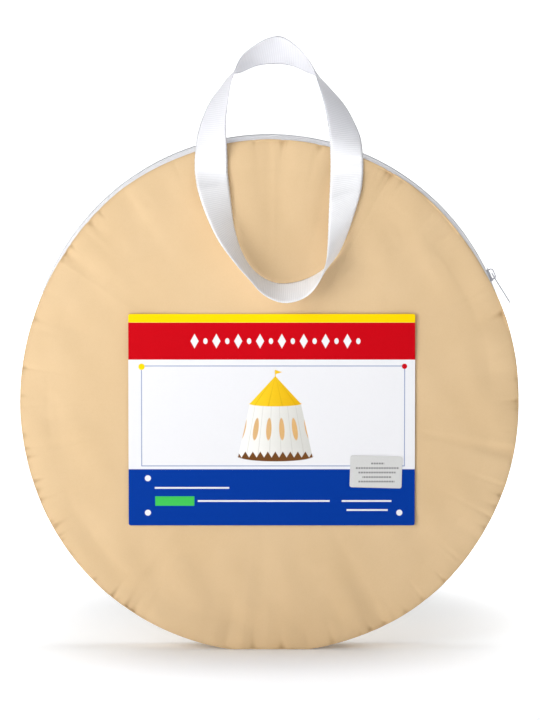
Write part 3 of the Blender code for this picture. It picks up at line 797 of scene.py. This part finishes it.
def tape_seam(name, side):
    """The row of white stitches that holds a tape to its panel."""
    angle = np.linspace(tape_end, math.pi - tape_end, seam_steps)
    across = tape_outer - seam_margin
    x, z = on_tape(angle, tape_fall(across), tape_lift)
    outward = points(np.cos(angle), 0.0, np.sin(angle))
    return stitches(name, points(x, side * across, z), outward, white_thread)


front_seam = tape_seam("front_tape_stitches", -1)
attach(front_seam, "case")
rear_seam = tape_seam("rear_tape_stitches", 1)
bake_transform(rear_seam)
print("stitch points:", len(front_seam.data.vertices) + len(rear_seam.data.vertices))

# %% [markdown]
# ## Zip metal
# The slider, its puller and the stops are small castings under white lacquer. The solids already
# have the right shape, so they stay and only get softer edges and a lacquer that pools a little.

# %% Lacquered metal
lacquer_white, lacquer_deep = linear(222, 222, 227), linear(206, 207, 213)
lacquer = moulded("white_lacquer", lacquer_white, lacquer_deep, 0.38, 1800, coat=0.25)
edge_width = 0.00018


def refinish(name, material):
    """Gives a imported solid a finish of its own."""
    piece = nodes[name]
    piece.data.materials.clear()
    piece.data.materials.append(material)
    return piece


for name in ("slider_body", "zip_puller", "front_zip_stop", "rear_zip_stop", "zip_bottom_stop"):
    edge = refinish(name, lacquer).modifiers.new("soft_edges", "BEVEL")
    edge.width = edge_width
    edge.segments = 2
    edge.limit_method = "ANGLE"
print("lacquered:", lacquer.name)

# %% [markdown]
# ## Webbing
# The two loops are cut from one ribbed webbing, 30 mm wide. The ribs run across it, and its two
# selvedges are a little thicker and wavy from the returning weft. Each loop turns as it rises, so
# the camera sees its face on the legs and its edge at the ends of the arch. The standing loop's
# finish is drawn greyer away from its sewn ends, as painted shade.

# %% Webbing finish
rib_pitch = 0.0016
warp_pitch = 0.0011
# Painted shade fades in between these distances from each end of the run, in metres.
shade_fade = (-0.012, 0.034)


def webbing_finish(name, run=None):
    """Ribbed webbing; given a run, painted shade greys it away from the run's two ends."""
    finish = Finish(name, Sheen_Weight=0.1, Sheen_Roughness=0.5, Specular_IOR_Level=0.3)
    _, (along, across, _) = finish.lay()
    spot, _ = finish.places()
    ribs = (along * (math.tau / rib_pitch)).maths("SINE") * 0.5 + 0.5
    warp = (across * (math.tau / warp_pitch)).maths("SINE") * 0.5 + 0.5
    yarn = finish.noise(spot, 1300, 2)
    height = ribs * 0.55 + warp * 0.25 + yarn * 0.2
    tone = height.soft(0.1, 0.85)
    tint = finish.mix(tone, linear(238, 238, 241), linear(249, 249, 251))
    # Painted shade: away from its ends the loop is drawn greyer.
    if run:
        in_shade = along.soft(*shade_fade) * (run - along).soft(*shade_fade)
        shade_tint = finish.mix(tone, linear(210, 210, 215), linear(222, 222, 227))
        tint = finish.mix(in_shade, tint, shade_tint)
    finish.colour(tint)
    finish.rough(yarn * 0.12 + 0.74)
    finish.raised(height, 0.00014)
    return finish.material


bright_webbing = webbing_finish("bright_webbing")
print("made", bright_webbing.name)

# %% Sizes of the loops
webbing_width = 0.0295
webbing_thickness = 0.0012
tack_width = 0.0270
tack_height = 0.0098
loop_middle = 0.0081
loop_half_width = 0.0693
upper_hinge = 0.4060
lower_hinge = upper_hinge - tack_height
upper_rise = 0.1015
lower_drop = 0.1058
tack_clearance = 0.0005
tack_rows = 12
# A tiny gap that keeps the standing loop's start and the hanging loop's sewn ends apart.
swing_gap = 0.00001
print("standing loop rises", upper_rise, "m, hanging loop drops", lower_drop, "m")

# %% [markdown]
# The photograph fixes where both edges of each loop run, so the loops are given by pairs of points
# on their near and far edge. The difference between the width that shows and the real width says
# how far the webbing is turned, and so how much nearer its near edge stands.

# %% Edges of the loops, as shares of their half width and of their rise or drop
upper_shares = (
    ((-0.610, 0.000), (-1.000, 0.000)),
    ((-0.619, 0.179), (-0.976, 0.179)),
    ((-0.625, 0.309), (-0.917, 0.325)),
    ((-0.601, 0.455), (-0.821, 0.472)),
    ((-0.571, 0.590), (-0.702, 0.582)),
    ((-0.530, 0.697), (-0.578, 0.684)),
    ((-0.436, 0.846), (-0.466, 0.698)),
    ((-0.202, 0.964), (-0.250, 0.758)),
    ((0.010, 1.000), (-0.024, 0.773)),
    ((0.179, 0.937), (0.167, 0.752)),
    ((0.302, 0.856), (0.333, 0.701)),
    ((0.396, 0.752), (0.474, 0.660)),
    ((0.450, 0.632), (0.610, 0.577)),
    ((0.506, 0.506), (0.782, 0.444)),
    ((0.560, 0.349), (0.905, 0.292)),
    ((0.595, 0.179), (0.976, 0.162)),
    ((0.610, 0.000), (1.000, 0.000)),
)
lower_shares = (
    ((-1.000, 0.000), (-0.610, 0.000)),
    ((-0.964, 0.126), (-0.589, 0.103)),
    ((-0.869, 0.314), (-0.560, 0.267)),
    ((-0.714, 0.524), (-0.524, 0.438)),
    ((-0.512, 0.704), (-0.440, 0.618)),
    ((-0.345, 0.828), (-0.321, 0.746)),
    ((-0.190, 0.938), (-0.167, 0.828)),
    ((0.012, 1.000), (0.000, 0.864)),
    ((0.202, 0.992), (0.190, 0.856)),
    ((0.357, 0.938), (0.357, 0.821)),
    ((0.452, 0.860), (0.488, 0.774)),
    ((0.512, 0.774), (0.619, 0.704)),
    ((0.554, 0.680), (0.726, 0.610)),
    ((0.571, 0.571), (0.821, 0.470)),
    ((0.583, 0.415), (0.917, 0.282)),
    ((0.595, 0.220), (0.976, 0.142)),
    ((0.610, 0.000), (1.000, 0.000)),
)


def smooth_line(places, steps):
    """A smooth curve through places, with as many steps between each two."""
    places = np.asarray(places, float)
    before, after = 2 * places[0] - places[1], 2 * places[-1] - places[-2]
    places = np.concatenate([[before], places, [after]])
    t = np.linspace(0, 1, steps, endpoint=False)[:, None]
    pieces = []
    for a, b, c, d in zip(places, places[1:], places[2:], places[3:]):
        bend = (2 * a - 5 * b + 4 * c - d) * t**2 + (3 * b - a - 3 * c + d) * t**3
        pieces.append(0.5 * (2 * b + (c - a) * t + bend))
    return np.concatenate(pieces + [places[-2:-1]])


# %% [markdown]
# A photograph gives no depth, so the depth comes from how webbing behaves. Where it lies on the
# panel, it follows the panel's dish. Where it shows narrower than it is, it is turned, and its near
# edge stands forward by what is missing. Above the case nothing holds it back, and it leans.

# %% Depth of the loops
least_lean = 0.0020
rim_margin = 0.0020
rim_slope = 2
bulge_off_panel, bulge_growth = 0.0008, 3
steps_per_place = 10


def panel_depth(x, z):
    return shoulder(np.hypot(x / half_width, (z - middle_height) / half_height))


def seam_level(x):
    return middle_height + half_height * np.sqrt(1 - (x / half_width) ** 2)


def strap_depth(x, z):
    """The depth of the middle of webbing that lies on the front panel."""
    return panel_depth(x, np.minimum(z, seam_level(x))) + tack_clearance + webbing_thickness / 2


def loop_edges(shares, level, drop, upper):
    """Points along the near and the far edge of a loop, in metres."""
    near_x, near_z, far_x, far_z = [
        start + size * smooth_line([pair[edge] for pair in shares], steps_per_place)[:, axis]
        for edge in (0, 1)
        for axis, start, size in ((0, loop_middle, loop_half_width), (1, level, drop))
    ]
    number = np.arange(len(near_x))
    ends = np.clip(np.minimum(number, number[::-1]) / steps_per_place, 0, 1)
    width = tack_width + (webbing_width - tack_width) * ends
    seen = np.hypot(near_x - far_x, near_z - far_z)
    turned = np.sqrt(np.maximum(width**2 - seen**2, 0)) * ends
    flat_depth = strap_depth(far_x, far_z)
    if upper:
        lean = least_lean * (1 + (far_z - upper_hinge) / upper_rise)
        middle = strap_depth((near_x + far_x) / 2, upper_hinge) + lean
        above = np.maximum(far_z - seam_level(far_x) - rim_margin, 0)
        guard = flat_depth - above * rim_slope
        depth = np.where(turned == 0, guard, np.maximum(middle - turned / 2, guard))
    else:
        depth = flat_depth + bulge_off_panel * np.clip(ends * bulge_growth, 0, 1)
    near_depth = np.maximum(depth + turned, strap_depth(near_x, near_z))
    return points(near_x, -near_depth, near_z), points(far_x, -depth, far_z)


# %% [markdown]
# Between its two edges the webbing gets a flat oval section, slightly thicker at the selvedges. The
# edges are evened out first, because photographed points always jitter a little.

# %% From two edges to a strap
strap_spacing = 0.0006
evening_rounds = 10
section_columns = 15
section_power = 9
selvedge_share, selvedge_width, selvedge_extra = 0.9, 0.05, 0.12
ripple_pitch, ripple_share = 0.0036, 0.006


def strap(name, near, far, material):
    """A strap with a rounded cross section between two edges."""
    length = run_length((near + far) / 2)
    stations = np.linspace(0, length[-1], int(length[-1] / strap_spacing))
    near, far = along_path(stations, length, near), along_path(stations, length, far)
    for _ in range(evening_rounds):
        for edge in (near, far):
            edge[1:-1] = (edge[:-2] + 2 * edge[1:-1] + edge[2:]) / 4
    across = far - near
    width = np.linalg.norm(across, axis=1, keepdims=True)
    across /= width
    along = np.gradient((near + far) / 2, axis=0)
    along -= across * np.sum(along * across, axis=1, keepdims=True)
    along /= np.linalg.norm(along, axis=1, keepdims=True)
    up = np.cross(along, across)
    half = np.linspace(-1, 1, section_columns)
    bow = np.sqrt(np.maximum(1 - np.abs(half) ** section_power, 0))
    edge_place = (np.abs(half) - selvedge_share) / selvedge_width
    top = bow * (1 + selvedge_extra * np.exp(-(edge_place**2)))
    flat = np.concatenate([half, half[-2:0:-1]])
    lift = np.concatenate([top, -top[-2:0:-1]])
    ripple = 1 + ripple_share * np.sin(stations * math.tau / ripple_pitch)[:, None]
    centre = (near + far)[:, None] / 2
    reach = flat[None, :] * width / 2 * ripple
    rise = lift[None, :] * webbing_thickness / 2
    grid = centre + across[:, None] * reach[..., None] + up[:, None] * rise[..., None]
    lay = np.stack(np.broadcast_arrays(stations[:, None], flat * webbing_width / 2), axis=-1)
    made = surface(name, grid, lay, material, closed=True)
    close_ends(made, *grid.shape[:2])
    return made


def close_ends(piece, rows, columns):
    """Adds the two end faces of a closed grid, and turns all faces outwards."""
    work = bmesh.new()
    work.from_mesh(piece.data)
    work.verts.ensure_lookup_table()
    work.faces.new([work.verts[n] for n in range(columns)])
    work.faces.new([work.verts[(rows - 1) * columns + n] for n in range(columns)])
    bmesh.ops.recalc_face_normals(work, faces=work.faces)
    work.to_mesh(piece.data)
    work.free()


# %% [markdown]
# Both loops are sewn at the same two places. The hanging loop's webbing runs on over them. The
# standing loop starts at the upper edge of the sewn place, and the hanging one leaves it at the
# lower.

# %% The standing loop
near, far = loop_edges(upper_shares, upper_hinge + swing_gap, upper_rise, True)
run = float(run_length((near + far) / 2)[-1])
# The standing loop gets the webbing finish with painted shade, greyer towards its arch.
shaded_webbing = webbing_finish("shaded_webbing", run)
standing_loop = strap("standing_loop", near, far, shaded_webbing)
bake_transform(standing_loop)
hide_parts("upper_handle_loop")
print("webbing in the standing loop:", round(run, 3), "m")


# %% The hanging loop and the sewn places
def with_tacks(near, far):
    """The hanging loop's edges, lengthened upwards over the two sewn places."""
    rise = np.linspace(1, 0, tack_rows, endpoint=False) * (tack_height - swing_gap)
    ends = []
    for first, inner in ((0, 1), (-1, -2)):
        pair = []
        for edge in (near, far):
            run = np.repeat(edge[first][None], len(rise), axis=0)
            run[:, 2] = lower_hinge + rise
            run[:, 1] = -strap_depth(run[:, 0], run[:, 2])
            pair.append(run)
        ends.append(pair)
    near = np.concatenate([ends[0][0], near, ends[1][0][::-1]])
    far = np.concatenate([ends[0][1], far, ends[1][1][::-1]])
    return near, far


near, far = loop_edges(lower_shares, lower_hinge, -lower_drop, False)
near, far = with_tacks(near, far)
hanging_loop = strap("hanging_loop", near, far, bright_webbing)
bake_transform(hanging_loop)
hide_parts("lower_handle_loop", "handle_tack_left", "handle_tack_right")
print("loop points:", len(standing_loop.data.vertices), len(hanging_loop.data.vertices))

# %% [markdown]
# ## The printed card
# The card is thin glossy board in bands of flat ink. Ink bands need no picture: a test on the
# height gives each band, and an oval or a bar is a test on both coordinates. Each mark is mixed
# over what is there already, as a printer lays one ink over another. All places are in metres, in
# the part's own frame, as they would be measured on the card.

# %% Marks of ink
ink_yellow = linear(246, 209, 2)
ink_red = linear(194, 2, 18)
ink_blue = linear(0, 54, 150)
ink_white = linear(230, 230, 233)


def within(value, low, high, soft=0.00022):
    """1 between two values and 0 outside, with soft edges as ink has."""
    return value.soft(low - soft, low + soft) * (1 - value.soft(high - soft, high + soft))


def bar(x, z, left, right, low, high):
    return within(x, left, right) * within(z, low, high)


def oval(x, z, centre_x, centre_z, wide, tall):
    """1 inside an oval of the given half width and half height."""
    across, up = (x - centre_x) / wide, (z - centre_z) / tall
    return 1 - (across * across + up * up).soft(0.88, 1.12)


# %% Bands, a row of diamonds and dots, and plain bars
row_left, row_right, row_height = -0.0660, 0.0780, 0.2568
row_cell = 0.0090
row_rise = 0.0062
frame_outer = (-0.1056, 0.1121, 0.1531, 0.2366)
frame_inner = (-0.1049, 0.1114, 0.1538, 0.2359)
white_dots = ((-0.1002, 0.1432), (-0.1002, 0.1146), (0.1076, 0.1146))
white_dot = 0.0025
green_patch = (-0.0942, -0.0618, 0.1203, 0.1282)
bar_half = 0.0007
white_bars = (
    (-0.0945, -0.0330, 0.1352),
    (-0.0590, 0.0500, 0.1243),
    (0.0600, 0.1010, 0.1243),
    (0.0640, 0.0980, 0.1168),
)


def layout(finish, x, z):
    """The card's bands, frame and plain marks."""
    ink = finish.mix(within(z, 0.2415, 0.2722), ink_white, ink_red)
    ink = finish.mix(z.soft(0.2720, 0.2724), ink, ink_yellow)
    ink = finish.mix(1 - z.soft(0.1505, 0.1509), ink, ink_blue)

    row = (x - row_left) / row_cell
    cell = row.maths("FRACT") - 0.5
    odd = row.maths("FLOOR").maths("MODULO", 2.0)
    up = (z - row_height) / row_rise
    diamond = 1 - (abs(cell) * 2.6 + abs(up)).soft(0.90, 1.04)
    dot = 1 - (cell * cell * 26 + up * up * 6.5).soft(0.85, 1.15)
    band = within(x, row_left, row_right, 0.0001)
    ink = finish.mix((diamond * (1 - odd) + dot * odd) * band, ink, ink_white)

    frame_line = bar(x, z, *frame_outer) - bar(x, z, *frame_inner)
    ink = finish.mix(frame_line * 0.8, ink, linear(70, 106, 170))
    ink = finish.mix(oval(x, z, -0.1052, 0.2356, 0.0026, 0.0026), ink, ink_yellow)
    ink = finish.mix(oval(x, z, 0.1116, 0.2360, 0.0022, 0.0022), ink, ink_red)
    for dot_x, dot_z in white_dots:
        ink = finish.mix(oval(x, z, dot_x, dot_z, white_dot, white_dot), ink, ink_white)
    ink = finish.mix(bar(x, z, *green_patch), ink, linear(64, 190, 84))
    for left, right, level in white_bars:
        line = bar(x, z, left, right, level - bar_half, level + bar_half)
        ink = finish.mix(line, ink, ink_white)
    return ink


# %% [markdown]
# The picture on the card is a plain round tent: a wall that widens downwards, a zigzag hem, a row
# of ovals, a cone for the roof and a small flag. Each is one formula in the tent's own width, so
# the pleats and the ovals fan out with the wall.

# %% A small round tent
tent_middle = 0.0051
tent_foot = 0.1604
tent_eave = 0.2052
roof_foot = 0.2046
roof_peak = 0.2274
wall_spread = 0.22
roof_slope = 0.92


def small_tent(finish, ink, x, z):
    """Draws the tent over the ink that is there already."""
    across = x - tent_middle
    side = abs(across)
    spread = 0.0210 + (tent_eave - z) * wall_spread
    body = within(z, tent_foot, tent_eave) * (1 - (side - spread).soft(-0.0002, 0.0002))
    body = body.maths("MAXIMUM", oval(x, z, tent_middle, 0.1612, 0.0304, 0.0040))
    shade = (across / 0.0300).soft(-1.0, 1.0)
    wall = finish.mix(shade, linear(244, 243, 238), linear(206, 205, 200))
    ink = finish.mix(body, ink, wall)
    pleat = abs((across / spread * 3.2).maths("FRACT") - 0.5)
    ink = finish.mix(body * (1 - pleat.soft(0.0, 0.06)) * 0.35, ink, linear(170, 166, 156))
    zigzag = abs((across / 0.0062).maths("FRACT") - 0.5) * 0.0100
    hem = body * (1 - (z - tent_foot - zigzag).soft(-0.0003, 0.0003))
    ink = finish.mix(hem, ink, linear(112, 70, 34))
    beside = abs((across / spread * 2.4).maths("FRACT") - 0.5)
    height = (z - 0.1840) / 0.0100
    ovals = body * (1 - (beside * beside * 20 + height * height).soft(0.7, 1.0)) * 0.8
    ink = finish.mix(ovals, ink, linear(214, 158, 62))

    slope = 0.0215 - (z - roof_foot) * roof_slope
    roof = within(z, roof_foot, roof_peak) * (1 - (side - slope).soft(-0.0002, 0.0002))
    roof = roof.maths("MAXIMUM", oval(x, z, tent_middle, 0.2050, 0.0214, 0.0022))
    cone = finish.mix(shade, linear(246, 208, 40), linear(222, 170, 14))
    ink = finish.mix(roof, ink, cone)
    fold = abs((across / (slope + 0.0004) * 2.0).maths("FRACT") - 0.5)
    ink = finish.mix(roof * (1 - fold.soft(0.0, 0.08)) * 0.4, ink, linear(196, 146, 8))
    pole = bar(x, z, tent_middle - 0.0004, tent_middle + 0.0004, 0.2266, 0.2330)
    taper = 1 - (abs(z - 0.2312) + across * 0.32).soft(0.0016, 0.0020)
    flag = within(x, tent_middle, tent_middle + 0.0058) * taper
    return finish.mix(pole.maths("MAXIMUM", flag), ink, linear(232, 186, 24))


# %% The card's finish
def card_finish():
    board = {"Coat_Weight": 0.015, "Coat_Roughness": 0.3, "Specular_IOR_Level": 0.03}
    finish = Finish("printed_board", **board)
    spot, (x, _, z) = finish.places()
    ink = small_tent(finish, layout(finish, x, z), x, z)
    grain = finish.noise(spot, 700, 2)
    ink = finish.mix(0.05, ink, finish.mix(grain, (0.0, 0.0, 0.0), (1.0, 1.0, 1.0)), "OVERLAY")
    finish.colour(ink)
    finish.rough(finish.noise(spot, 60, 3) * 0.10 + 0.34)
    finish.raised(finish.noise(spot, 45, 2) * 0.8 + grain * 0.2, 0.00012)
    return finish.material


refinish("label_card", card_finish())
print("card printed")

# %% [markdown]
# The sticker is uncoated paper. Its small print is only hinted at, by five rows of grey dashes.

# %% The sticker's finish
sticker_rows = (
    (0.0840, 0.0951, 0.1555),
    (0.0712, 0.1069, 0.1517),
    (0.0737, 0.1044, 0.1480),
    (0.0769, 0.1011, 0.1442),
    (0.0737, 0.1036, 0.1405),
)


def paper_finish():
    finish = Finish("sticker_paper", Specular_IOR_Level=0.2)
    spot, (x, _, z) = finish.places()
    fibre = finish.noise(spot, 1600, 3)
    paper = finish.mix(fibre.soft(0.3, 0.7), linear(208, 208, 207), linear(202, 202, 200))
    dash = 1 - abs((x / 0.0021).maths("FRACT") - 0.5).soft(0.36, 0.40)
    for left, right, level in sticker_rows:
        row = bar(x, z, left, right, level - bar_half, level + bar_half)
        paper = finish.mix(row * dash * 0.8, paper, linear(96, 96, 98))
    finish.colour(paper)
    finish.rough(fibre * 0.12 + 0.58)
    finish.raised(fibre, 0.00001)
    return finish.material


refinish("label_sticker", paper_finish())
print("sticker printed:", len(sticker_rows), "rows")

# %% [markdown]
# ## Inside the bag
# With the flap open, the coiled hoops show, and between them the tent's folded cloth. Spring steel
# is drawn wire, so its finish has fine lines along the wire and a thin film of oil.

# %% Spring steel
def steel_finish():
    finish = Finish("spring_steel", Metallic=0.9, Specular_IOR_Level=0.5)
    spot, _ = finish.places()
    drawn = finish.noise(spot, 1100, 3)
    film = finish.noise(spot, 34, 3)
    finish.colour(finish.mix(film.soft(0.3, 0.7), linear(150, 152, 156), linear(108, 110, 116)))
    finish.rough(drawn * 0.16 + film * 0.14 + 0.22)
    finish.raised(drawn, 0.00003)
    return finish.material


steel = steel_finish()
print("made", steel.name)

# %% [markdown]
# A twisted hoop goes round the bag three times before its two ends meet in a short tube. Its path
# is one formula: an oval, with a small circle that it winds round once on its way. The solid of
# each hoop has 24 straight runs to a turn, so it is drawn again here as a round wire.

# %% Round wire for the hoops
hoop_wide, hoop_tall, hoop_middle = 0.1953, 0.2019, 0.2071
hoop_pitch = 0.0084
hoop_bundle = 0.0025
hoop_wire = 0.0015
hoop_turns = 3
hoop_steps, hoop_corners = 480, 10
ferrule_radius = 0.0024
ferrule_half = 0.0090
ferrule_steps, ferrule_corners = 9, 16
joint = hoop_turns * math.pi + math.radians(7.5)


def hoop_path(number, start, end, steps):
    """Points on a hoop between two places, in radians of travel."""
    travel = np.linspace(start, end, steps)
    swell = hoop_bundle * np.cos(travel / hoop_turns)
    angle = travel + math.pi / 2 * number
    depth = hoop_pitch * (number - 1.5) + hoop_bundle * np.sin(travel / hoop_turns)
    x = (hoop_wide + swell) * np.cos(angle)
    z = hoop_middle + (hoop_tall + swell) * np.sin(angle)
    return points(x, depth, z)


for number in range(4):
    path = hoop_path(number, joint, joint + hoop_turns * math.tau, hoop_steps)
    hoop = tube(f"round_hoop_{number + 1}", path, hoop_wire, hoop_corners, steel)
    half = ferrule_half / hoop_wide
    path = hoop_path(number, joint - half, joint + half, ferrule_steps)
    sleeve = tube(f"round_ferrule_{number + 1}", path, ferrule_radius, ferrule_corners, steel)
    for piece, node in ((hoop, f"wall_hoop_{number + 1}"), (sleeve, f"hoop_ferrule_{number + 1}")):
        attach(piece, "case")
        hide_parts(node)
print("hoops wound:", number + 1)

# %% [markdown]
# ## Folded cloth
# The tent's walls, roof and floor are folded flat on each other inside the hoops. Only their edges
# and their outer faces can ever be seen, so each pack is one closed skin: its edge runs in and out
# once for each layer, and its faces get soft creases, and low steps where a layer beneath ends.

# %% Creases on a folded face
crease_count = 60
crease_spread = 0.17
crease_bend = 8
crease_widths, crease_lengths = (0.0022, 0.006), (0.02, 0.09)
crease_depths = (0.0004, 0.0011)
step_count = 6
step_places = (0.02, 0.16)
step_height, step_width = 0.0005, 0.0012
most_sunk = 0.0026


def creases(x, z, draws):
    """How far folded cloth sinks: short soft creases, and steps where a layer under it ends."""
    total = np.zeros_like(x)
    for _ in range(crease_count):
        turn = draws.uniform(0, math.pi)
        place_x, place_z = draws.uniform(-crease_spread, crease_spread, 2)
        away = (x - place_x) * math.cos(turn) + (z - place_z) * math.sin(turn)
        along = (z - place_z) * math.cos(turn) - (x - place_x) * math.sin(turn)
        away = away + crease_bend * along**2 * draws.uniform(-1, 1)
        wide, long = draws.uniform(*crease_widths), draws.uniform(*crease_lengths)
        deep = draws.uniform(*crease_depths)
        total += deep * np.exp(-((away / wide) ** 2) - (along / long) ** 2)
    for _ in range(step_count):
        turn = draws.uniform(0, math.tau)
        away = x * math.cos(turn) + z * math.sin(turn) - draws.uniform(*step_places)
        total += step_height * (1 + np.tanh(away / step_width))
    return np.minimum(total, most_sunk)


# %% The edge of a folded pack
pack_margin = 0.0012
pack_columns = 360
rows_per_layer = 7
edge_bulge = 0.9
fold_roundness, fold_half_share = 0.97, 0.48
face_rings, face_edge_share = 56, 0.985
# Each layer's edge swings in and out by a few waves, and is shifted in as a whole.
edge_waves, edge_cycles = 9, (2, 26)
edge_swing_share, edge_shift_share = 0.02, 0.012
panel_margin = 0.0048


def layer_edges(turn, layers, draws):
    """How far in the edge of each layer lies, as shares of the pack's half width."""
    inset = np.zeros((layers, len(turn)))
    for line in inset:
        for _ in range(edge_waves):
            cycles = draws.integers(*edge_cycles)
            line += np.cos(turn * cycles + draws.uniform(0, math.tau)) / (3 + cycles)
        line[:] = (line - line.min()) * edge_swing_share + draws.uniform(0, edge_shift_share)
    return inset


def folded_pack(name, node, material, layers, seed):
    """Layers of cloth folded flat on each other, with uneven rounded folds at the edge."""
    draws = np.random.default_rng(seed)
    (low_x, low_y, low_z), (high_x, high_y, high_z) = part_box(node)
    centre_x, centre_z = (low_x + high_x) / 2, (low_z + high_z) / 2
    wide, tall = (high_x - low_x) / 2 - pack_margin, (high_z - low_z) / 2 - pack_margin
    low_y, high_y = low_y + pack_margin, high_y - pack_margin
    turn = np.linspace(0, math.tau, pack_columns, endpoint=False)
    depths, shares, edge = [], [], (high_y - low_y) / layers
    for layer, inset in enumerate(layer_edges(turn, layers, draws)):
        for bend in np.linspace(-1, 1, rows_per_layer):
            bulge = np.sqrt(1 - (bend * fold_roundness) ** 2) * edge * edge_bulge
            depths.append(low_y + edge * (layer + 0.5 + bend * fold_half_share))
            shares.append(1 - inset - (edge * edge_bulge - bulge) / wide)
    inner = np.linspace(face_edge_share, 0.0, face_rings)
    depths = depths[:1] * len(inner) + depths + depths[-1:] * len(inner)
    shares = [shares[0] * s for s in inner[::-1]] + shares + [shares[-1] * s for s in inner]
    depth, share = np.array(depths)[:, None], np.array(shares)
    x = centre_x + wide * share * np.cos(turn)
    z = centre_z + tall * share * np.sin(turn)
    limit = panel_depth(x, z) - panel_margin
    depth = np.clip(depth, -limit, limit)
    sunk = creases(x, z - centre_z, draws)
    sunk[0], sunk[-1] = sunk[0].mean(), sunk[-1].mean()
    sunk[len(inner) : -len(inner)] = 0
    depth = depth - np.sign(depth - (low_y + high_y) / 2) * sunk
    grid = points(x, depth, z)
    return surface(name, grid, grid[..., [0, 2]], material, closed=True)


# %% Three packs
wall_colours = linear(240, 240, 236), linear(224, 224, 220)
roof_colours = linear(246, 204, 40), linear(232, 184, 22)
floor_colours = linear(176, 178, 182), linear(158, 160, 166)
wall_white = woven_cloth("white_tent_cloth", *wall_colours, 0.0005, 0.7, 0.15)
roof_yellow = woven_cloth("yellow_tent_cloth", *roof_colours, 0.0005, 0.66, 0.2)
floor_grey = woven_cloth("grey_floor_cloth", *floor_colours, 0.0006, 0.5, 0.1)

for name, node, material, layers, seed in (
    ("folded_walls", "wall_cloth_pack", wall_white, 9, 51),
    ("folded_roof", "roof_cloth_pack", roof_yellow, 5, 52),
    ("folded_floor", "floor_cloth_pack", floor_grey, 4, 53),
):
    pack = folded_pack(name, node, material, layers, seed)
    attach(pack, "case")
    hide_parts(node)
    print(name, len(pack.data.vertices))

# %% [markdown]
# ## Studio
# The bag stands on a white sweep: a floor that curves up behind it, so no horizon shows. Round the
# bag the floor glows less, and so keeps the bag's soft shadow, and far away it glows white. A large
# soft key light from the upper left gives the webbing its shadow on the cloth, a small lamp low on
# the left lifts the lower rim, one from above and two from behind light the zip and the edges, and
# a dim dome over a white horizon keeps the shadows open.

# %% The sweep's finish
def sweep_finish():
    finish = Finish("white_sweep", Specular_IOR_Level=0.1)
    spot, (x, y, _) = finish.places()
    cloud = finish.noise(spot, 2.0, 2)
    finish.colour(finish.mix(cloud, linear(246, 249, 252), linear(243, 246, 250)))
    finish.rough(finish.noise(spot, 5.0, 2) * 0.1 + 0.85)
    behind = y - 0.16
    away = x * x / 0.045 + behind * behind / 0.09
    far = x * x + y * y
    bright = away.soft(0.2, 1.6) * (y.soft(-0.2, 0.5) * 0.58 + 0.42)
    bright = bright.maths("MAXIMUM", far.soft(0.3, 2.6)) * 0.68 + far.soft(1.5, 7.0) * 0.32
    glow = finish.mix(bright, (0.08, 0.08, 0.08), (1.0, 1.0, 1.0))
    finish.put(finish.shader.inputs["Emission Color"], glow)
    finish.put(finish.shader.inputs["Emission Strength"], 1.0)
    return finish.material


# %% Sweep
floor_reach = 9.0
curve_start, curve_radius = 6.0, 2.0
sweep_height = 8.0
floor_drop = 0.0002


def sweep():
    angle = np.linspace(0, math.pi / 2, 16)
    y = curve_start + curve_radius * np.sin(angle)
    z = curve_radius - curve_radius * np.cos(angle)
    y = np.concatenate([[-floor_reach], y, [curve_start + curve_radius]])[:, None]
    z = np.concatenate([[0.0], z, [sweep_height]])[:, None] - floor_drop
    grid = points(np.array([-floor_reach, floor_reach]), y, z)
    return surface("sweep", grid, grid[..., :2], sweep_finish())


sweep()
print("sweep:", 2 * floor_reach, "m wide")

# %% Lamps
lamp_target = np.array((0, 0, 0.2))


def lamp(name, place, size, power):
    """A round soft lamp that points at the bag."""
    data = bpy.data.lights.new(name, "AREA")
    data.shape = "DISK"
    data.size = size
    data.energy = power
    made = bpy.data.objects.new(name, data)
    made.location = place
    back = np.array(place) - lamp_target
    turn = math.atan2(back[0], -back[1])
    made.rotation_euler = (math.acos(back[2] / np.linalg.norm(back)), 0, turn)
    bpy.context.scene.collection.objects.link(made)
    print("lamp:", name, power, "W")


lamp("key", (-0.77, -1.18, 0.56), 1.15, 12.1)
lamp("left", (-0.80, -0.80, 0.06), 0.5, 2.2)
lamp("top", (0.1, 0.2, 2.6), 1.9, 19)
lamp("rim_right", (1.5, 0.5, 1.1), 0.9, 3.4)
lamp("rim_left", (-1.5, 0.5, 1.1), 0.9, 1.4)


# %% Sky
class Sky(Finish):
    """The light from all round, made with the same nodes as a finish."""

    def __init__(self, name):
        self.world = bpy.data.worlds.new(name)
        self.world.use_nodes = True
        self.tree = self.world.node_tree
        self.shader = self.tree.nodes["Background"]


dome_light = 0.095
horizon_top = (0.06, 0.16)

sky = Sky("sky")
direction = sky.node("ShaderNodeTexCoord", output="Generated")
height = sky.node("ShaderNodeSeparateXYZ", None, {0: direction}, "Z")
dome = sky.mix(height.soft(*horizon_top), (1.0, 1.0, 1.0), (dome_light,) * 3)
sky.put(sky.shader.inputs["Color"], dome)
bpy.context.scene.world = sky.world
bpy.context.scene.view_settings.view_transform = "Standard"
print("dome:", dome_light, "of the horizon's light")
